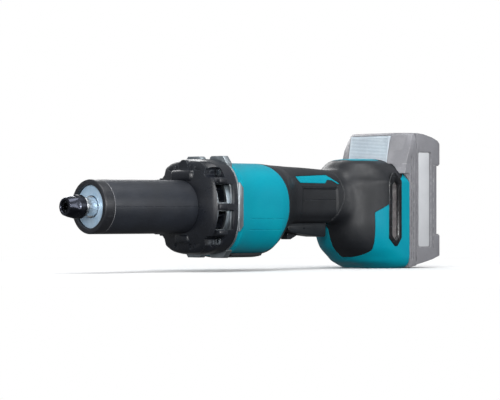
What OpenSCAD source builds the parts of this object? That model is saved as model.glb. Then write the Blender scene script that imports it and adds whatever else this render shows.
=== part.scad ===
// Cordless die grinder with a long barrel, a paddle switch and a slide-on battery.
// Frame: X runs along the spindle from the collet towards the battery, +Z is up,
// and the origin is the centre of the collet's front face.

/* [Nose] */
// Diameter of the shank that the collet holds
shank_d = 6; // [3:0.5:6]
// Width of the collet nut across its flats
nut_flats = 17; // [16.5:0.25:17.5]
// Width of the spindle across its wrench flats
spindle_flats = 13; // [12:0.5:15]
// Front face of the nose ring
nose_x = 24; // [23.5:0.25:24.5]

/* [Barrel] */
// Diameter of the barrel
barrel_d = 45; // [44.5:0.25:46]
// Place where the barrel meets the fan cover
shoulder_x = 124.5; // [124:0.25:125]

/* [Motor] */
// Front face of the aluminium bearing plate
plate_x = 152; // [151.5:0.25:152.5]
// Thickness of the bearing plate
plate_t = 6; // [5.5:0.25:6.5]
// Half the width of the motor housing
motor_half_w = 40.5; // [40:0.25:41]
// Rear end of the motor housing
motor_end_x = 214; // [213.5:0.25:214.5]
// Number of blades on the fan
fan_blades = 17; // [9:2:23]
// Number of coils on the stator
coils = 12; // [6:3:12]

/* [Handle] */
// Thickness of the rubber grip
grip_t = 1.2; // [1:0.1:1.5]
// Wall of the plastic shell under the grip
shell_t = 2; // [1.8:0.1:2.4]
// Half the width of the opening that the paddle moves in
paddle_slot_half_w = 12.2; // [12:0.1:12.5]

/* [Foot] */
// Half the width of the foot and the battery
foot_half_w = 41; // [40.5:0.25:41.5]
// Rear face of the foot, against the battery
foot_rear_x = 361.6; // [361.4:0.1:361.7]

/* [Battery] */
// Rear end of the battery, which is also the tool's length behind the collet
rear_x = 403; // [402.5:0.25:404]
// Radius of a battery cell
cell_r = 9.2; // [8.8:0.1:9.3]
// Length of a battery cell
cell_len = 65; // [63:0.5:65]
// Number of cells
cells_n = 5; // [3:1:5]

/* [Fits] */
// Radial clearance of a turning fit
turn_gap = 0.05; // [0.03:0.01:0.08]
// Gap between pieces that slide past each other
slide_gap = 0.3; // [0.25:0.05:0.35]

/* [Hidden] */
$fn = 72;
barrel_r = barrel_d / 2;
bore_r = shank_d / 2;
screw_r = 2;
cover_screw_at = 28.8;
shaft_r = 4;
rail_z = [-50, 36];
paddle_pivot = [245, -11.2];
paddle_pin_r = 1.5;
paddle_pin_half = 14.6;
lever_pivot = [258, -18.6];
lever_pin_r = 1;
plunger_x = 272;
dial_centre = [333, 35.8];
dial_r = 8;
lead_z = 20.8;
motor_lead_r = 1.15;
motor_lead_turn_x = 332.5;
control_lead_r = 0.9;
control_lead_turn_x = 329;
control_lead_z = 6;
motor_bearings_x = [151.5, 207];
button_z = [39.8, 64.4];
case_screws_at = [[-36.2, -26], [36.2, -26], [-36.2, 36], [36.2, 36]];
latch_spring_at = [14, 52];
lamps_y = [-16:5:-1];
case_split_x = 371;
cell_x = 386;
cell_pitch = 20.5;
cell_mid_z = 8;
handle_screws_at = [[230, 29, 18], [296, 26.6, 13], [321.5, -36, 28.5], [350, -46, 35], [349.5, 33, 24]];
teal = "#00afc3";
black = "#2b2f38";
rubber = "#232c33";
steel = "#c9d2d8";
alu = "#a9b0b6";
pack_grey = "#8b8b8d";

// ---- helpers: axes and simple solids ----

// Extrudes a (Y, Z) outline along X
module along_x(x0, x1) translate([x0, 0, 0]) rotate([90, 0, 90]) linear_extrude(x1 - x0) children();

// Extrudes an (X, Z) outline along Y
module along_y(y0, y1) translate([0, y1, 0]) rotate([90, 0, 0]) linear_extrude(y1 - y0) children();

// Turns a profile of [radius, x] points round the spindle's axis
module turned(profile) rotate([90, 0, 90]) rotate_extrude() polygon(profile);

module ring(x0, x1, r_in, r_out) turned([[r_in, x0], [r_out, x0], [r_out, x1], [r_in, x1]]);

module rod_x(x0, x1, r) translate([x0, 0, 0]) rotate([0, 90, 0]) cylinder(r = r, h = x1 - x0);

module rod_x_at(y, z, x0, x1, r) translate([0, y, z]) rod_x(x0, x1, r);

module rod_y(x, z, r, y0, y1) translate([x, y0, z]) rotate([-90, 0, 0]) cylinder(r = r, h = y1 - y0);

module rod_z(x, y, r, z0, z1) translate([x, y, z0]) cylinder(r = r, h = z1 - z0);

// A box from its limits along each axis
module bar(x, y, z) translate([x[0], y[0], z[0]]) cube([x[1] - x[0], y[1] - y[0], z[1] - z[0]]);

// Keeps the half of its children on one side of the middle plane: side is -1 (left) or 1 (right)
module half(side) intersection() {
    children();
    translate([0, side < 0 ? -100 : 0, -150]) cube([500, 100, 300]);
}

module on_both_sides() {
    children();
    mirror([0, 1, 0]) children();
}

// ---- helpers: outlines ----

function arc_points(centre, r, from, to, steps = 6) =
    [for (i = [0:steps]) let(t = from + (to - from) * i / steps) centre + r * [cos(t), sin(t)]];

// A squarish oval in (Y, Z) with its own height above and below the axis
function oval(half_w, top, bottom, power, low_power, steps = 56) = [
    for (i = [0:steps - 1])
        let(t = 360 * i / steps, c = cos(t), s = sin(t), e = 2 / (s < 0 ? low_power : power))
        [half_w * sign(c) * pow(abs(c), e), (s > 0 ? top : bottom) * sign(s) * pow(abs(s), e)]
];

// The foot seen from above: straight sides and a rounded front
function foot_plan(front, rear, half_w, r) = concat(
    [[rear, -half_w], [rear, half_w]],
    arc_points([front + r, half_w - r], r, 90, 180, 7),
    arc_points([front + r, r - half_w], r, 180, 270, 7)
);

// ---- helpers: bearings and springs ----

// Radius of the circle that a bearing's balls run on, and the balls' own radius
function track_r(r_in, r_out) = (r_in + r_out) / 2;
function ball_r(r_in, r_out) = (r_out - r_in) * 0.3;

module ball_track(x, r_in, r_out) translate([x, 0, 0]) rotate([90, 0, 90])
    rotate_extrude() translate([track_r(r_in, r_out), 0]) circle(r = ball_r(r_in, r_out) + 0.1);

module bearing_outer(x0, x1, r_in, r_out) difference() {
    ring(x0, x1, track_r(r_in, r_out) + ball_r(r_in, r_out) * 0.55, r_out);
    ball_track((x0 + x1) / 2, r_in, r_out);
}

module bearing_inner(x0, x1, r_in, r_out, balls) {
    difference() {
        ring(x0, x1, r_in, track_r(r_in, r_out) - ball_r(r_in, r_out) * 0.55);
        ball_track((x0 + x1) / 2, r_in, r_out);
    }
    for (i = [0:balls - 1])
        rotate([360 * i / balls, 0, 0])
            translate([(x0 + x1) / 2, 0, track_r(r_in, r_out)]) sphere(r = ball_r(r_in, r_out));
}

// A skin through rings of points, all with the same number of points, closed by flat ends
module loft(rings) {
    n = len(rings[0]);
    last = (len(rings) - 1) * n;
    walls = [
        for (i = [0:len(rings) - 2])
            for (k = [0:n - 1])
                let(a = i * n + k, b = i * n + (k + 1) % n)
                each [[a, a + n, b + n], [a, b + n, b]]
    ];
    ends = [[for (k = [0:n - 1]) k], [for (k = [n - 1:-1:0]) last + k]];
    polyhedron([for (r = rings) each r], concat(walls, ends));
}

// A wire coil standing on z = 0, swept round points that follow the helix
module coil(r, wire_r, height, turns) {
    lift = (height - 2 * wire_r) / turns / 14;
    loft([
        for (i = [0:turns * 14])
            let(t = i * 360 / 14)
            [for (u = [0:60:300]) let(reach = r + wire_r * cos(u))
                [reach * cos(t), reach * sin(t), wire_r + lift * i + wire_r * sin(u)]]
    ]);
}

// ---- nose, spindle and barrel ----

module collet_nut() color("#373946") difference() {
    intersection() {
        turned([[0, -1], [7.1, -1], [7.6, -0.5], [8.9, 6], [9.7, 7.4], [9.7, 15], [9.1, 15.8], [0, 15.8]]);
        along_x(-1.5, 16) circle(r = nut_flats / 2 / cos(30), $fn = 6);
    }
    turned([[0, -2], [5.6, -2], [5, -0.4], [5, 1.2], [6.4, 3.4], [6.4, 4.4], [7 + turn_gap, 5], [7 + turn_gap, 17],
            [0, 17]]);
}

module collet() color(steel) difference() {
    turned([[bore_r, 0], [4.8, 0], [4.8, 1.3], [6.2, 3.7], [6.2, 4.4], [4.6, 21], [bore_r, 21]]);
    for (a = [0, 90])
        rotate([a, 0, 0]) bar([-1, 17], [-8, 8], [-0.35, 0.35]);
}

module spindle() color("#dfe6ea") difference() {
    turned([[0, 5], [6.6, 5], [7, 5.6], [7, 16.3], [8.7, 16.3], [8.7, 33.6], [8.5, 33.6], [8.5, 44], [9.5, 44],
            [9.5, 99], [7.5, 99], [7.5, 108], [6, 108], [6, 116], [0, 116]]);
    turned([[0, 4], [6.25, 4], [6.2, 5], [4.65, 21.2], [4.2, 22], [4.2, 40], [0, 42]]);
    for (s = [-1, 1])
        translate([17.5, s < 0 ? -10 : spindle_flats / 2, -10]) cube([8, 10 - spindle_flats / 2, 20]);
}

module nose_ring() color(black) difference() {
    turned(concat([[18, nose_x], [19.6, nose_x]], arc_points([barrel_r - 4, nose_x + 5], 4, -60, 0, 4),
                  [[barrel_r, 34], [21, 34], [21, 30], [18, 30]]));
    rotate([25, 0, 0]) translate([28.5, 0, 20.5]) cylinder(r = 1.1, h = 5);
}

module bearing_retainer() color("#b5cfe0") difference() {
    ring(26.7, 30, 9.2, 17.9);
    for (a = [0, 180])
        rotate([a + 40, 0, 0]) translate([28.3, 0, 13.6]) rotate([0, 90, 0]) cylinder(r = 1.4, h = 4, center = true);
}

module felt_seal() color("#4a4d52") ring(30, 33.6, 9, 17.4);

module barrel_housing() color(alu) difference() {
    union() {
        turned([[0, 30], [21, 30], [21, 128.6], [35.6, 128.6], [36.6, 129.6], [36.8, 152], [0, 152]]);
        along_x(146, plate_x) polygon(oval(39, 38, 38, 3, 3));
    }
    turned([[0, 29], [17.5, 29], [17.5, 44], [16, 44], [16, 108], [13, 108], [13, 112], [18, 120], [18, 131],
            [34.4, 131], [34.4, 153], [0, 153]]);
    for (side = [-1, 1], z = [-11.2, 11.2])
        bar([134.4, 143.8], side < 0 ? [-45, -25] : [25, 45], [z - 7.6, z + 7.6]);
    for (z = [-45, 26])
        bar([133, 144], [-12, 12], [z, z + 19]);
    cover_screw_holes(screw_r, 140, 153);
}

module barrel_sleeve() color("#3f424b") difference() {
    ring(34, shoulder_x, 21, barrel_r);
    for (x = [34, shoulder_x - 1.2])
        ring(x - 0.01, x + 0.4, barrel_r - 0.5, barrel_r + 1);
}

module front_bearing_outer() color(steel) bearing_outer(34, 44, 8.5, 17.5);

module front_bearing_inner() color(steel) bearing_inner(34, 44, 8.5, 17.5, 10);

module rear_bearing_outer() color(steel) bearing_outer(99, 108, 7.5, 16);

module rear_bearing_inner() color(steel) bearing_inner(99, 108, 7.5, 16, 10);

// ---- fan, cover and bearing plate ----

module drive_coupling() color("#5a4a3a") difference() {
    ring(109, 125, shaft_r, 11);
    ring(108, 116, 0, 6);
}

module rotor_shaft() color(steel) rod_x(116, 221.5, shaft_r);

module fan() color("#33363c") {
    ring(131.8, 147, shaft_r, 9);
    ring(146, 147.6, 8, 31.4);
    for (i = [0:fan_blades - 1])
        rotate([360 * i / fan_blades, 0, 0])
            translate([132.6, 0, 8.5]) rotate([0, 0, 8]) translate([0, -0.7, 0]) cube([13.6, 1.4, 22.6]);
}

// Shanks or clearance holes at the four corners of the motor
module cover_screw_holes(r, x0, x1) for (y = [-1, 1], z = [-1, 1])
    translate([0, y * cover_screw_at, z * cover_screw_at]) rod_x(x0, x1, r);

module fan_cover() color("#33363e") difference() {
    intersection() {
        turned([[0, shoulder_x], [22.6, shoulder_x], [28, 125.3], [33, 126.3], [36.6, 127.8], [38.8, 129.6],
                [40.3, 132.4], [42, 136], [43.6, 139.5], [48, 141], [48, plate_x], [0, plate_x]]);
        along_x(120, plate_x) polygon(oval(41.4, 40.4, 40.4, 2.9, 2.9));
    }
    turned([[0, 120], [21, 120], [21, 128.6], [35.6, 128.6], [36.6, 129.6], [36.8, 153], [0, 153]]);
    along_x(146, 153) polygon(oval(39, 38, 38, 3, 3));
    for (side = [-1, 1], z = [-11.2, 11.2])
        bar([127.4, 147], side < 0 ? [-45, -25] : [25, 45], [z - 8.2, z + 8.2]);
    for (side = [-1, 1], z = [-40, 30.5])
        bar([128, 136.5], side < 0 ? [-20.5, -13] : [13, 20.5], [z, z + 9.5]);
    for (z = [-1, 1])
        bar([131.5, 141], [-9, 9], z < 0 ? [-45, -31.5] : [31.5, 45]);
    cover_screw_holes(4.3, 120, 144.4);
    cover_screw_holes(screw_r, 140, 153);
}

module bearing_plate() color("#b1babf") difference() {
    union() {
        along_x(plate_x, plate_x + plate_t) polygon(oval(42.4, 40.8, 41, 2.9, 2.9));
        for (y = [-1, 1])
            along_x(plate_x, plate_x + plate_t) scale([y, 1])
                polygon([[6, -42], [8, -43.2], [22, -43.2], [27, -37], [27, 37], [22, 43.2], [8, 43.2], [6, 42]]);
        rod_x(plate_x - 1, plate_x + plate_t + 1, 14);
    }
    rod_x(plate_x - 2, plate_x + plate_t + 2, 11);
    for (a = [0:45:315])
        rotate([a + 22.5, 0, 0]) translate([0, 0, 22.5]) rod_x(plate_x - 1, plate_x + plate_t + 1, 5.2);
    cover_screw_holes(screw_r, plate_x - 1, plate_x + plate_t + 1);
}

module cover_screws() color("#aeb6bb") for (y = [-1, 1], z = [-1, 1])
    translate([0, y * cover_screw_at, z * cover_screw_at]) difference() {
        union() {
            rod_x(140.4, 144.4, 3.6);
            rod_x(144.3, 176, screw_r);
        }
        along_x(140, 142.8) circle(r = 1.8, $fn = 6);
    }

// ---- motor ----

module motor_bearings_outer() color(steel) for (x = motor_bearings_x)
    bearing_outer(x, x + 7, shaft_r, 11);

module motor_bearings_inner() color(steel) for (x = motor_bearings_x)
    bearing_inner(x, x + 7, shaft_r, 11, 7);

module rotor_core() color("#6f757c") difference() {
    ring(166, 202, shaft_r, 13.6);
    for (a = [45:90:315])
        rotate([a, 0, 0]) translate([0, 0, 8.6]) rod_x(165, 203, 1.6);
}

module stator_core() color("#80868c") difference() {
    ring(168, 200, 14.2, 29);
    for (i = [0:coils - 1])
        rotate([360 * i / coils, 0, 0]) {
            bar([167, 201], [-1.2, 1.2], [13, 18]);
            translate([0, 0, 20]) rod_x(167, 201, 3.1);
        }
}

// Copper bundles that fill the stator's slots and bulge at both ends
module windings() color("#b06a35") for (i = [0:coils - 1])
    rotate([360 * i / coils, 0, 0]) translate([0, 0, 20]) {
        rod_x(163.5, 204.5, 2.9);
        for (x = [166, 202])
            translate([x, 0, 0]) rotate([90, 0, 90]) cylinder(r = 4, h = 4, center = true);
    }

// Stations of the motor housing's tail, laid out as the neck's are
tail_stations = [
    [204, motor_half_w, 37.6, 41, 2.8, 2.8], [209, 40.1, 37.3, 39.8, 2.8, 2.4],
    [motor_end_x, 39.2, 36.9, 38, 2.8, 2.1]
];

module motor_housing() color(teal) difference() {
    union() {
        along_x(plate_x + plate_t, tail_stations[0][0]) polygon(oval(motor_half_w, 37.6, 41, 2.8, 2.8));
        loft([for (s = tail_stations) neck_ring(s, 0)]);
    }
    rod_x(plate_x, 206, 29);
    difference() {
        rod_x(plate_x, 206, 33.4);
        for (a = [45:90:315])
            rotate([a, 0, 0]) bar([166, 207], [-4, 4], [28, 36]);
    }
    rod_x(205, motor_end_x + 1, 11);
    for (a = [0:45:315])
        rotate([a, 0, 0]) translate([0, 0, 22]) rod_x(205, motor_end_x + 1, 4);
    cover_screw_holes(screw_r, plate_x, 176.5);
}

// A rubber pad along the underside of the motor
module housing_pad() color(rubber) intersection() {
    along_x(164, tail_stations[0][0]) difference() {
        polygon(oval(motor_half_w + 1, 37.6, 43.3, 2.8, 2.8));
        polygon(oval(motor_half_w, 37.6, 41, 2.8, 2.8));
    }
    bar([160, 220], [-19, 19], [-60, -30]);
}

// ---- handle shells and rubber grip ----

// Stations of the neck: [x, half width, top, bottom, squareness above, squareness below]
neck_stations = [
    [motor_end_x, 39.2, 36.9, 38, 2.8, 2.1], [219, 36.8, 36.6, 32.5, 2.7, 2], [226, 32, 36.4, 26, 2.6, 2.1],
    [231, 28.8, 36.2, 21.5, 2.6, 2.3], [236, 26.3, 36, 17.4, 2.6, 2.5], [241, 24.8, 35.7, 15.3, 2.6, 2.7],
    [262, 22.8, 34.9, 15, 2.9, 2.9], [284, 22.3, 33.7, 15, 2.9, 2.9], [300, 23, 33, 16, 2.7, 2.7],
    [312, 27, 34, 20, 2.5, 2.5]
];
// Stations of the foot: [z, front, half width, front radius]
foot_stations = [
    [-54.5, 337, 33, 24], [-52, 331, 37.5, 30], [-48.5, 321.5, 39.8, 37], [-44, 315.5, 40.8, 39.5],
    [-35.5, 305.8, foot_half_w, 40], [-26, 301, foot_half_w, 40], [-15, 299, foot_half_w, 40],
    [22, 300, foot_half_w, 38], [30, 304, 36.5, 33], [36, 310, 29, 25], [40, 314, 23, 19],
    [42.5, 320, 16, 13], [43.5, 326, 11, 9]
];

// An inset ring at the front end moves forward, so that a cavity opens there
function neck_ring(s, inset) =
    let(x = s[0] - (inset > 0 && s[0] == motor_end_x ? 1 : 0))
    [for (p = oval(s[1] - inset, s[2] - inset, s[3] - inset, s[4], s[5], 40)) [x, p[0], p[1]]];

// The lowest and highest rings move inwards by the inset, and an inset ring passes the rear face
function foot_ring(s, inset) =
    let(z = s[0] < -45 ? s[0] + inset : s[0] > 35 ? s[0] - inset : s[0], rear = foot_rear_x + (inset > 0 ? 1 : 0))
    [for (p = foot_plan(s[1] + inset, rear, s[2] - inset, s[3] - inset)) [p[0], p[1], z]];

module neck_solid(inset) loft([for (s = neck_stations) neck_ring(s, inset)]);

module foot_solid(inset) loft([for (s = foot_stations) foot_ring(s, inset)]);

module handle_solid(inset) {
    neck_solid(inset);
    foot_solid(inset);
}

// Side view of the area that the rubber grip covers, less the accent stripe on the neck
module grip_area() difference() {
    polygon([[210, 60], [312, 60], [316, 41.6], [343, 41.6], [347.4, 60], [347.4, 32], [333, 27], [333, 3],
             [317, -4], [317, -37], [311, -44], [210, -44]]);
    polygon([[239.5, 26.8], [280, 28.5], [294, 20.6], [291, 20.6], [285, 23.7], [279, 24], [276, 20.9],
             [243.5, 21.2]]);
}

// Space that the grip fills on the outside of the shells
module grip_space() difference() {
    along_y(-60, 60) grip_area();
    bar([290, 315], [-9, 9], [-60, -26]);
}

module dust_outline() polygon([[343.5, 31], [351.5, 24], [351.5, -27.5], [346, -34.5], [342.6, -34.5],
                               [335.6, -27.5], [335.6, 24], [340, 31]]);

module dust_slot(e) polygon([[343.7, 23.5 + e], [347 + e, 19.5], [347 + e, -25], [344, -28.5 - e],
                             [340.4 - e, -25], [340.4 - e, 19.5]]);

// Everything that is cut out of the handle: paddle slot, dust covers, dial slot, rear opening
module handle_cuts() {
    bar([237, 288.4], [-paddle_slot_half_w, paddle_slot_half_w], [-60, -9]);
    on_both_sides() {
        along_y(-60, -38.6) dust_outline();
        along_y(-60, -36) dust_slot(1);
    }
    bar([dial_centre[0] - 8.6, dial_centre[0] + 8.6], [-4.3, 4.3], [20, 60]);
    bar([354, 370], [-37, 37], [rail_z[0], 60]);
    bar([347.4, 370], [-60, 60], [38.6, 60]);
    along_y(-60, 60) polygon([[356.8, 60], [356.8, 29], [foot_rear_x + 0.1, 22], [370, 22], [370, 60]]);
    for (s = handle_screws_at)
        rod_y(s[0], s[1], 3.4, s[2], 60);
}

module handle_bosses() {
    for (s = handle_screws_at)
        rod_y(s[0], s[1], 4, -s[2] - 3, s[2] + 3);
    for (y = [[-18, -paddle_slot_half_w], [paddle_slot_half_w, 18]])
        bar([240, 250], y, [-14.6, -8]);
    for (y = [[-9, -4.3], [4.3, 9]])
        bar([328.5, 337.5], y, [30, 42]);
    for (x = [335, 347])
        bar([x, x + 4], [-38, 38], [-60, -42]);
    on_both_sides() bar([256, 262], [-24, -8], [0, 8]);
}

// The layer that the grip fills, which may stand proud of the handle by the outset
module grip_skin(outset) intersection() {
    difference() {
        handle_solid(-outset);
        handle_solid(grip_t);
    }
    grip_space();
}

module handle_shell(side) half(side) difference() {
    union() {
        difference() {
            handle_solid(0);
            grip_skin(1);
            handle_solid(grip_t + shell_t);
        }
        intersection() {
            handle_solid(grip_t + shell_t / 2);
            handle_bosses();
        }
    }
    handle_cuts();
    for (s = handle_screws_at)
        rod_y(s[0], s[1], 1.6, 6 - s[2], 60);
    rod_y(paddle_pivot[0], paddle_pivot[1], 1.6, -paddle_pin_half - 0.1, paddle_pin_half + 0.1);
    rod_y(dial_centre[0], dial_centre[1], 2.1, -8, 8);
}

module grip(side) half(side) difference() {
    grip_skin(0);
    handle_cuts();
}

module handle_left() color(teal) handle_shell(-1);

module handle_right() color(teal) handle_shell(1);

module grip_left() color(rubber) grip(-1);

module grip_right() color(rubber) grip(1);

module handle_screws() color(steel) for (s = handle_screws_at) {
    rod_y(s[0], s[1], 1.5, 6.4 - s[2], s[2]);
    difference() {
        rod_y(s[0], s[1], 2.9, s[2], s[2] + 2.4);
        rod_y(s[0], s[1], 1.2, s[2] + 1, s[2] + 3);
    }
}

module dust_cover() color(black) difference() {
    along_y(-foot_half_w - 0.1, -38.6) dust_outline();
    along_y(-60, -30) dust_slot(0);
}

module dust_cover_left() dust_cover();

module dust_cover_right() mirror([0, 1, 0]) dust_cover();

// A perforated sheet behind the slot of the dust cover
module dust_mesh() color("#a69da0") difference() {
    along_y(-38.6, -38) dust_slot(0.9);
    for (z = [-23.5:3:18])
        bar([341.6, 345.8], [-40, -36], [z, z + 1.6]);
}

module dust_mesh_left() dust_mesh();

module dust_mesh_right() mirror([0, 1, 0]) dust_mesh();

// ---- controls ----

module speed_dial() color("#3a3f46") {
    difference() {
        rod_y(dial_centre[0], dial_centre[1], dial_r, -4, 4);
        for (a = [0:20:340])
            translate([dial_centre[0], 0, dial_centre[1]]) rotate([0, a, 0]) translate([dial_r + 0.3, 0, 0])
                rotate([90, 0, 0]) cylinder(r = 0.8, h = 10, center = true);
    }
    rod_y(dial_centre[0], dial_centre[1], 2.02, -7, 7);
}

module switch_body() color("#1f2328") difference() {
    union() {
        bar([252, 284], [-8, 8], [-2, 14]);
        bar([284, 288], [-5, 5], [2, 10]);
    }
    rod_z(plunger_x, 0, 2.3, -3, 7);
}

module switch_plunger() color("#d8d8d2") {
    rod_z(plunger_x, 0, 2.2, -20, 2);
    translate([plunger_x, 0, -20]) sphere(r = 2.2);
}

module paddle() color("#363f46") difference() {
    union() {
        difference() {
            along_y(-11.7, 11.7) polygon([[238.4, -15.5], [238.4, -19.6], [240.5, -21.6], [248, -22.7],
                                          [283.6, -26.3], [285, -25.2], [285, -15.3]]);
            along_y(-9.5, 9.5) polygon([[240.4, -10], [240.4, -19.4], [248, -20.6], [283, -24.1], [283, -10]]);
        }
        on_both_sides() along_y(-11.7, -9.5)
            polygon([[240.8, -16], [241.6, -10.1], [243.8, -8.1], [246.2, -8.1], [248.4, -10.1], [249.6, -12.4],
                     [285, -12.4], [285, -16]]);
    }
    rod_y(paddle_pivot[0], paddle_pivot[1], paddle_pin_r + turn_gap, -13, 13);
    rod_y(lever_pivot[0], lever_pivot[1], lever_pin_r, -13, 13);
    bar([241.6, 262], [-4.3, 4.3], [-40, -15]);
}

module paddle_pin() color(steel) rod_y(paddle_pivot[0], paddle_pivot[1], paddle_pin_r, -paddle_pin_half,
    paddle_pin_half);

module paddle_spring() color(steel) translate([279, 0, -23]) coil(3.2, 0.35, 20.9, 7);

module lock_off_lever() color("#20252b") difference() {
    union() {
        rod_y(lever_pivot[0], lever_pivot[1], 2.6, -4, 4);
        along_y(-4, 4) polygon([[257.6, -16.1], [251, -17.4], [245.6, -20.4], [244.4, -26.4], [245.4, -28.2],
                                [249, -28.2], [255.6, -25.2], [258.4, -21.2]]);
    }
    rod_y(lever_pivot[0], lever_pivot[1], lever_pin_r + turn_gap, -5, 5);
}

module lever_pin() color(steel) rod_y(lever_pivot[0], lever_pivot[1], lever_pin_r, -11.6, 11.6);

module lever_spring() color(steel) translate([lever_pivot[0], 8.6, lever_pivot[1]]) rotate([90, 0, 0])
    coil(1.7, 0.3, 4, 4);

// ---- electronics in the foot ----

module controller() color("#9aa0a4") {
    difference() {
        bar([326, 350], [-24, 24], [-41.5, -12]);
        bar([328, 348], [-22, 22], [-39.5, -11]);
    }
    bar([328, 348], [-22, 22], [-39.5, -26]);
    for (x = [335:3.5:346])
        bar([x, x + 1], [-20, 20], [-26, -16]);
}

// Three leads from the motor through the neck and down to the controller
module motor_leads() color("#8a2f2f") for (y = [-2.5, 0, 2.5]) {
    translate([0, y, lead_z]) rod_x(206.5, motor_lead_turn_x, motor_lead_r);
    translate([motor_lead_turn_x, y, lead_z]) sphere(r = motor_lead_r);
    rod_z(motor_lead_turn_x, y, motor_lead_r, -16, lead_z);
}

// Two leads from the switch to the controller, and two from the controller to the rail
module control_leads() color("#2a2a2a") for (y = [-3, 3]) {
    translate([0, y, control_lead_z]) rod_x(288, control_lead_turn_x, control_lead_r);
    translate([control_lead_turn_x, y, control_lead_z]) sphere(r = control_lead_r);
    rod_z(control_lead_turn_x, y, control_lead_r, -16, control_lead_z);
    translate([0, y * 4, -32]) rod_x(350, 354, 1.5);
}

// ---- battery rail on the foot ----

module battery_rail() color(black) {
    bar([354, foot_rear_x - 0.2], [-37, 37], rail_z);
    on_both_sides() {
        bar([361, 364], [-30, -26], rail_z);
        bar([364, 366.5], [-33, -26], rail_z);
    }
    bar([361, 364], [-22, 22], [-30, 10]);
}

module rail_terminals() color("#c59a4a") for (y = [-16:8:16])
    bar([364, 368.4], [y - 0.4, y + 0.4], [-26, 6]);

// ---- battery pack ----

// The pack's outline seen from above, from its split to its rear end
function pack_plan(x0, half_w, r) = concat([[x0, half_w], [x0, -half_w]],
    arc_points([rear_x - r, r - half_w], r, -90, 0, 5), arc_points([rear_x - r, half_w - r], r, 0, 90, 5));

// The rear part's side view: sloping top and bottom, end pads and the recess between them
function tub_side(e) = [
    [case_split_x, 66.9 - e], [380, 66 - e], [392, 63.2 - e], [399, 60.2 - e], [rear_x - 0.8 - e, 55],
    [rear_x - e, 50], [rear_x - e, 41], [rear_x - 2.6 - e, 38.4], [rear_x - 2.6 - e, -24.6], [rear_x - e, -27.4],
    [rear_x - e, -38], [rear_x - 2 - e, -44 + e], [392, -46.6 + e], [380, -49.4 + e], [case_split_x, -51.4 + e]
];

module battery_tub() color(pack_grey) difference() {
    union() {
        difference() {
            intersection() {
                translate([0, 0, -60]) linear_extrude(140) polygon(pack_plan(case_split_x, foot_half_w, 6));
                along_y(-45, 45) polygon(tub_side(0));
            }
            intersection() {
                translate([0, 0, -60]) linear_extrude(140) polygon(pack_plan(case_split_x - 1, 38.6, 4));
                along_y(-45, 45) polygon(concat([[case_split_x - 1, 64]], tub_side(2.4), [[case_split_x - 1, -49]]));
            }
        }
        for (b = case_screws_at)
            rod_x_at(b[0], b[1], case_split_x, 384, 2.7);
    }
    for (b = case_screws_at)
        rod_x_at(b[0], b[1], case_split_x - 1, 383, 1.25);
    bar([398, 404], [9, 17], [27, 35]);
    for (y = lamps_y)
        bar([398, 404], [y, y + 3], [29.5, 32.5]);
    on_both_sides() for (x = [380, 388])
        along_y(-42, -40.4) polygon([[x, 50], [x + 0.8, 50], [x + 0.8, -40], [x, -40]]);
}

module battery_front() color(pack_grey) difference() {
    intersection() {
        along_y(-foot_half_w, foot_half_w) polygon([[348.6, 39], [362, 39], [362, -54], [case_split_x, -52.2],
            [case_split_x, 67.2], [358, 67.2], [354.4, 66.4], [353, 64.6]]);
        translate([0, 0, -60]) linear_extrude(140) polygon([[348, -25], [358.6, -foot_half_w],
            [case_split_x, -foot_half_w], [case_split_x, foot_half_w], [358.6, foot_half_w], [348, 25]]);
    }
    on_both_sides() {
        bar([361, 364.3], [-30.3, -25.7], [-55, rail_z[1] + 1]);
        bar([363.7, 366.8], [-33.3, -25.7], [-55, rail_z[1] + 1]);
    }
    bar([361, 364.4], [-22.4, 22.4], [-55, 11]);
    for (y = [-16:8:16])
        bar([364, 369], [y - 1.5, y + 1.5], [-55, 8]);
    bar([340, 361.4], [-24.6, 24.6], [button_z[0] - 0.3, button_z[1] + 0.3]);
    on_both_sides() rod_x_at(latch_spring_at[0], latch_spring_at[1], 360, 368.4, 3.4);
    for (b = case_screws_at)
        translate([0, b[0], b[1]]) {
            rod_x(361, 365.5, 2.6);
            rod_x(361, case_split_x + 1, 1.25);
        }
    bar([case_split_x - 1.4, case_split_x + 1], [-30, 30], [12, 50]);
}

module battery_cells() color("#3b6ea5") for (i = [0:cells_n - 1])
    rod_y(cell_x, cell_mid_z + cell_pitch * (i - (cells_n - 1) / 2), cell_r, -cell_len / 2, cell_len / 2);

module cell_holder() color("#3c4046") on_both_sides() difference() {
    bar([374.6, 392.6], [-33.4, -28], [-43.4, 59.4]);
    for (i = [0:cells_n - 1])
        rod_y(cell_x, cell_mid_z + cell_pitch * (i - (cells_n - 1) / 2), cell_r, -cell_len / 2, -20);
}

module battery_board() color("#2f6b45") bar([case_split_x - 1.2, case_split_x + 0.4], [-29, 29], [13, 49]);

module battery_clips() color("#c59a4a") for (y = [-16:8:16], s = [-1, 1])
    bar([364.8, 369], [y + s * 1.1 - 0.4, y + s * 1.1 + 0.4], [-8, 7.8]);

module battery_screws() color(steel) for (b = case_screws_at)
    translate([0, b[0], b[1]]) {
        difference() {
            rod_x(363.2, 365.5, 2.4);
            rod_x(363, 364.4, 1.1);
        }
        rod_x(365.4, 382.6, 1.25);
    }

// The release button's face follows the slope of the pack's front
module release_button() color("#dce3eb") {
    difference() {
        along_y(-24.3, 24.3) polygon([[348.9, button_z[0]], [356.6, button_z[0]], [356.6, button_z[1]],
                                      [353, button_z[1]]]);
        for (s = [-1, 1])
            rod_x_at(s * latch_spring_at[0], latch_spring_at[1], 354.4, 357, 2.9);
    }
}

module latch_springs() color(steel) for (s = [-1, 1])
    translate([354.5, s * latch_spring_at[0], latch_spring_at[1]]) rotate([0, 90, 0]) coil(2.2, 0.3, 13.8, 6);

module check_button() color("#2a2d31") bar([399.2, 401.2], [9.4, 16.6], [27.4, 34.6]);

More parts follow.
